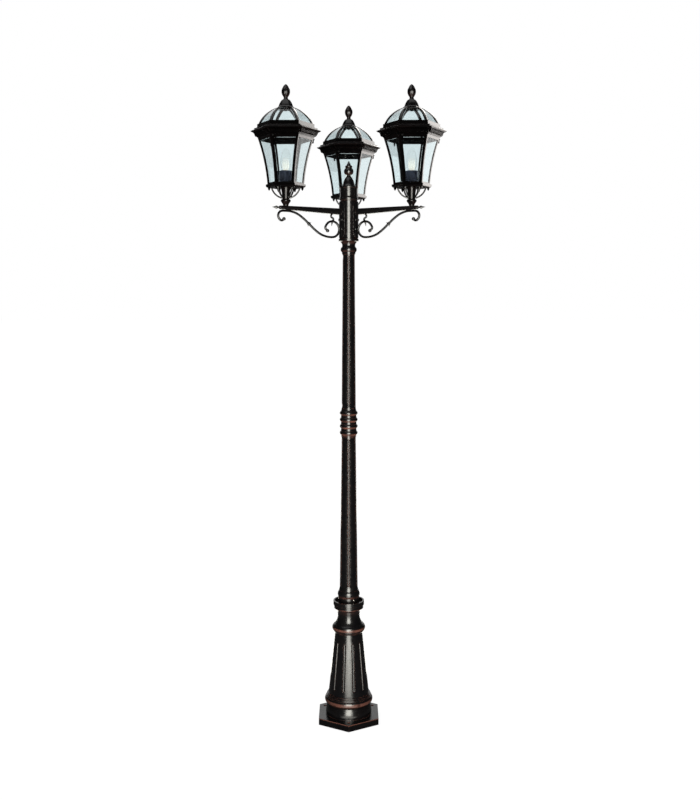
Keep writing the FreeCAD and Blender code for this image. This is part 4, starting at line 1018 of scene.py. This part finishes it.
def soft_panel(name, place, look_at, width, height, power, colour=(1, 1, 1)):
    """Rectangular lamp that faces a point."""
    lamp = bpy.data.lights.new(name, "AREA")
    lamp.shape = "RECTANGLE"
    lamp.size = width
    lamp.size_y = height
    lamp.energy = power
    lamp.color = colour
    panel = bpy.data.objects.new(name, lamp)
    panel.location = place
    aim = Vector(look_at) - Vector(place)
    panel.rotation_euler = aim.to_track_quat("-Z", "Y").to_euler()
    panel.visible_camera = False
    panel.visible_transmission = False
    bpy.context.scene.collection.objects.link(panel)
    return panel


def floor_strip(name, side, near, far, width, power, colour):
    """A lamp that lies on the floor, in front of the post (-1) or behind it (1)."""
    middle = side * (near + far) / 2
    return soft_panel(f"{name}_{near}", (0, middle, STRIP_Z), (0, middle, 1), width,
                      far - near, power, colour)


def lit_by(lamps, pieces, state):
    """Let lamps light only these pieces (INCLUDE) or all but these (EXCLUDE)."""
    group = bpy.data.collections.new(lamps[0].name + "_pieces")
    for piece in pieces:
        group.objects.link(piece)
    for entry in group.collection_objects:
        entry.light_linking.link_state = state
    for lamp in lamps:
        lamp.light_linking.receiver_collection = group


print("floor strips lie", 1000 * STRIP_Z, "mm up")

# %% [markdown]
# ## Lamps for the post
# A tall soft box by the camera draws the narrow highlight down every round piece. The
# pedestal is seen from above, so its upright faces mirror the floor, where three strips carry
# the highlight on. They widen away from the post, because the highlight keeps its width.
# Each strip is given as near end, far end, width and power.

# %% Lamps for the post
CREAM = (1.0, 0.985, 0.90)
FLOOR_STRIPS = ((0.15, 0.60, 0.18, 0.9), (0.60, 1.40, 0.46, 9.0), (1.40, 2.90, 1.00, 62.0))

post_lamps = [soft_panel("front_box", (0.03, -2.9, 1.22), (0.03, 0, 1.22), 1.5, 2.35, 180.0,
                         CREAM)]
post_lamps += [floor_strip("floor_strip", -1, *strip, CREAM) for strip in FLOOR_STRIPS]
print("post lit by", len(post_lamps), "lamps in front")

# %% [markdown]
# ## Lamps for the lanterns
# Two large warm panels stand on the right, and a third hangs high behind for the slopes of
# the roofs. The weak panel on the right lights whole lanterns and is the one lamp that may
# be seen through glass, where it fills the right-hand panes. The slender stems and buds get
# a box of their own in front, dimmer than the post's, and everything shares a top panel.

# %% Lamps for the lanterns
RIGHT_WARM = (1.0, 0.97, 0.95)
HEAD_WARM = (1.0, 0.95, 0.91)
SLOPE_WARM = (1.0, 0.95, 0.89)
DIM_WARM = (1.0, 0.97, 0.90)

right_panel = soft_panel("right_panel", (3.1, 1.75, 1.7), (0, 0, 1.6), 2.2, 2.8, 32.0,
                         RIGHT_WARM)
right_panel.visible_transmission = True
head_panel = soft_panel("head_panel", (2.7, 1.55, 2.0), (0, 0, 1.9), 2.2, 4.0, 120.0,
                        HEAD_WARM)
slope_panel = soft_panel("slope_panel", (1.2, 3.2, 4.1), (0, 0, 2.0), 1.8, 1.8, 60.0,
                         SLOPE_WARM)
soft_panel("top_panel", (-0.6, -0.6, 4.2), (0, 0, 1.0), 2.4, 2.4, 20.0)
dim_box = soft_panel("dim_box", (0.25, -2.9, 1.4), (0.0, 0, 1.6), 1.5, 2.2, 85.0, DIM_WARM)
print("lanterns lit by", right_panel.name, head_panel.name, slope_panel.name)

# %% [markdown]
# ## Lamps behind the post
# Seen from behind, black gloss in a dark room would be a plain silhouette. Two weaker strips
# on the floor behind the post give its back some shape. A box standing there would do more,
# but the foot's top and the cup's rim would mirror it in the front view.

# %% Lamps behind the post
BACK_STRIPS = ((0.40, 2.90, 0.60, 18.0), (2.90, 10.0, 2.60, 230.0))

post_lamps += [floor_strip("back_strip", 1, *strip, CREAM) for strip in BACK_STRIPS]
print("post lit by", len(post_lamps), "lamps in all")

# %% [markdown]
# ## What each lamp lights
# The lanterns' pieces and the slender ones are found by the start of their names. The post's
# lamps leave out both, and the floor, which they would burn white. The strong warm panels
# light the lanterns' metal without its caps, bulbs and panes.

# %% Light groups
HEAD_PIECES = ("cage_", "roof_", "bulb_", "floor_ring", "ground_", "ribbed_", "cornice_",
               "crown_")
HEAD_SHADED = ("ground_", "bulb_", "roof_cap")
SLENDER_PIECES = ("petal_bud", "lantern_stem")


def named(starts):
    return [piece for piece in bpy.context.scene.objects
            if piece.type == "MESH" and piece.name.startswith(starts)]


heads = named(HEAD_PIECES)
slender = named(SLENDER_PIECES)
head_metal = [piece for piece in heads if not piece.name.startswith(HEAD_SHADED)]

lit_by(post_lamps, heads + slender + [floor], "EXCLUDE")
lit_by([dim_box], slender, "INCLUDE")
lit_by([right_panel], heads, "INCLUDE")
lit_by([head_panel, slope_panel], head_metal, "INCLUDE")
print("studio lit, with", len(heads), "lantern pieces and", len(slender), "slender ones")
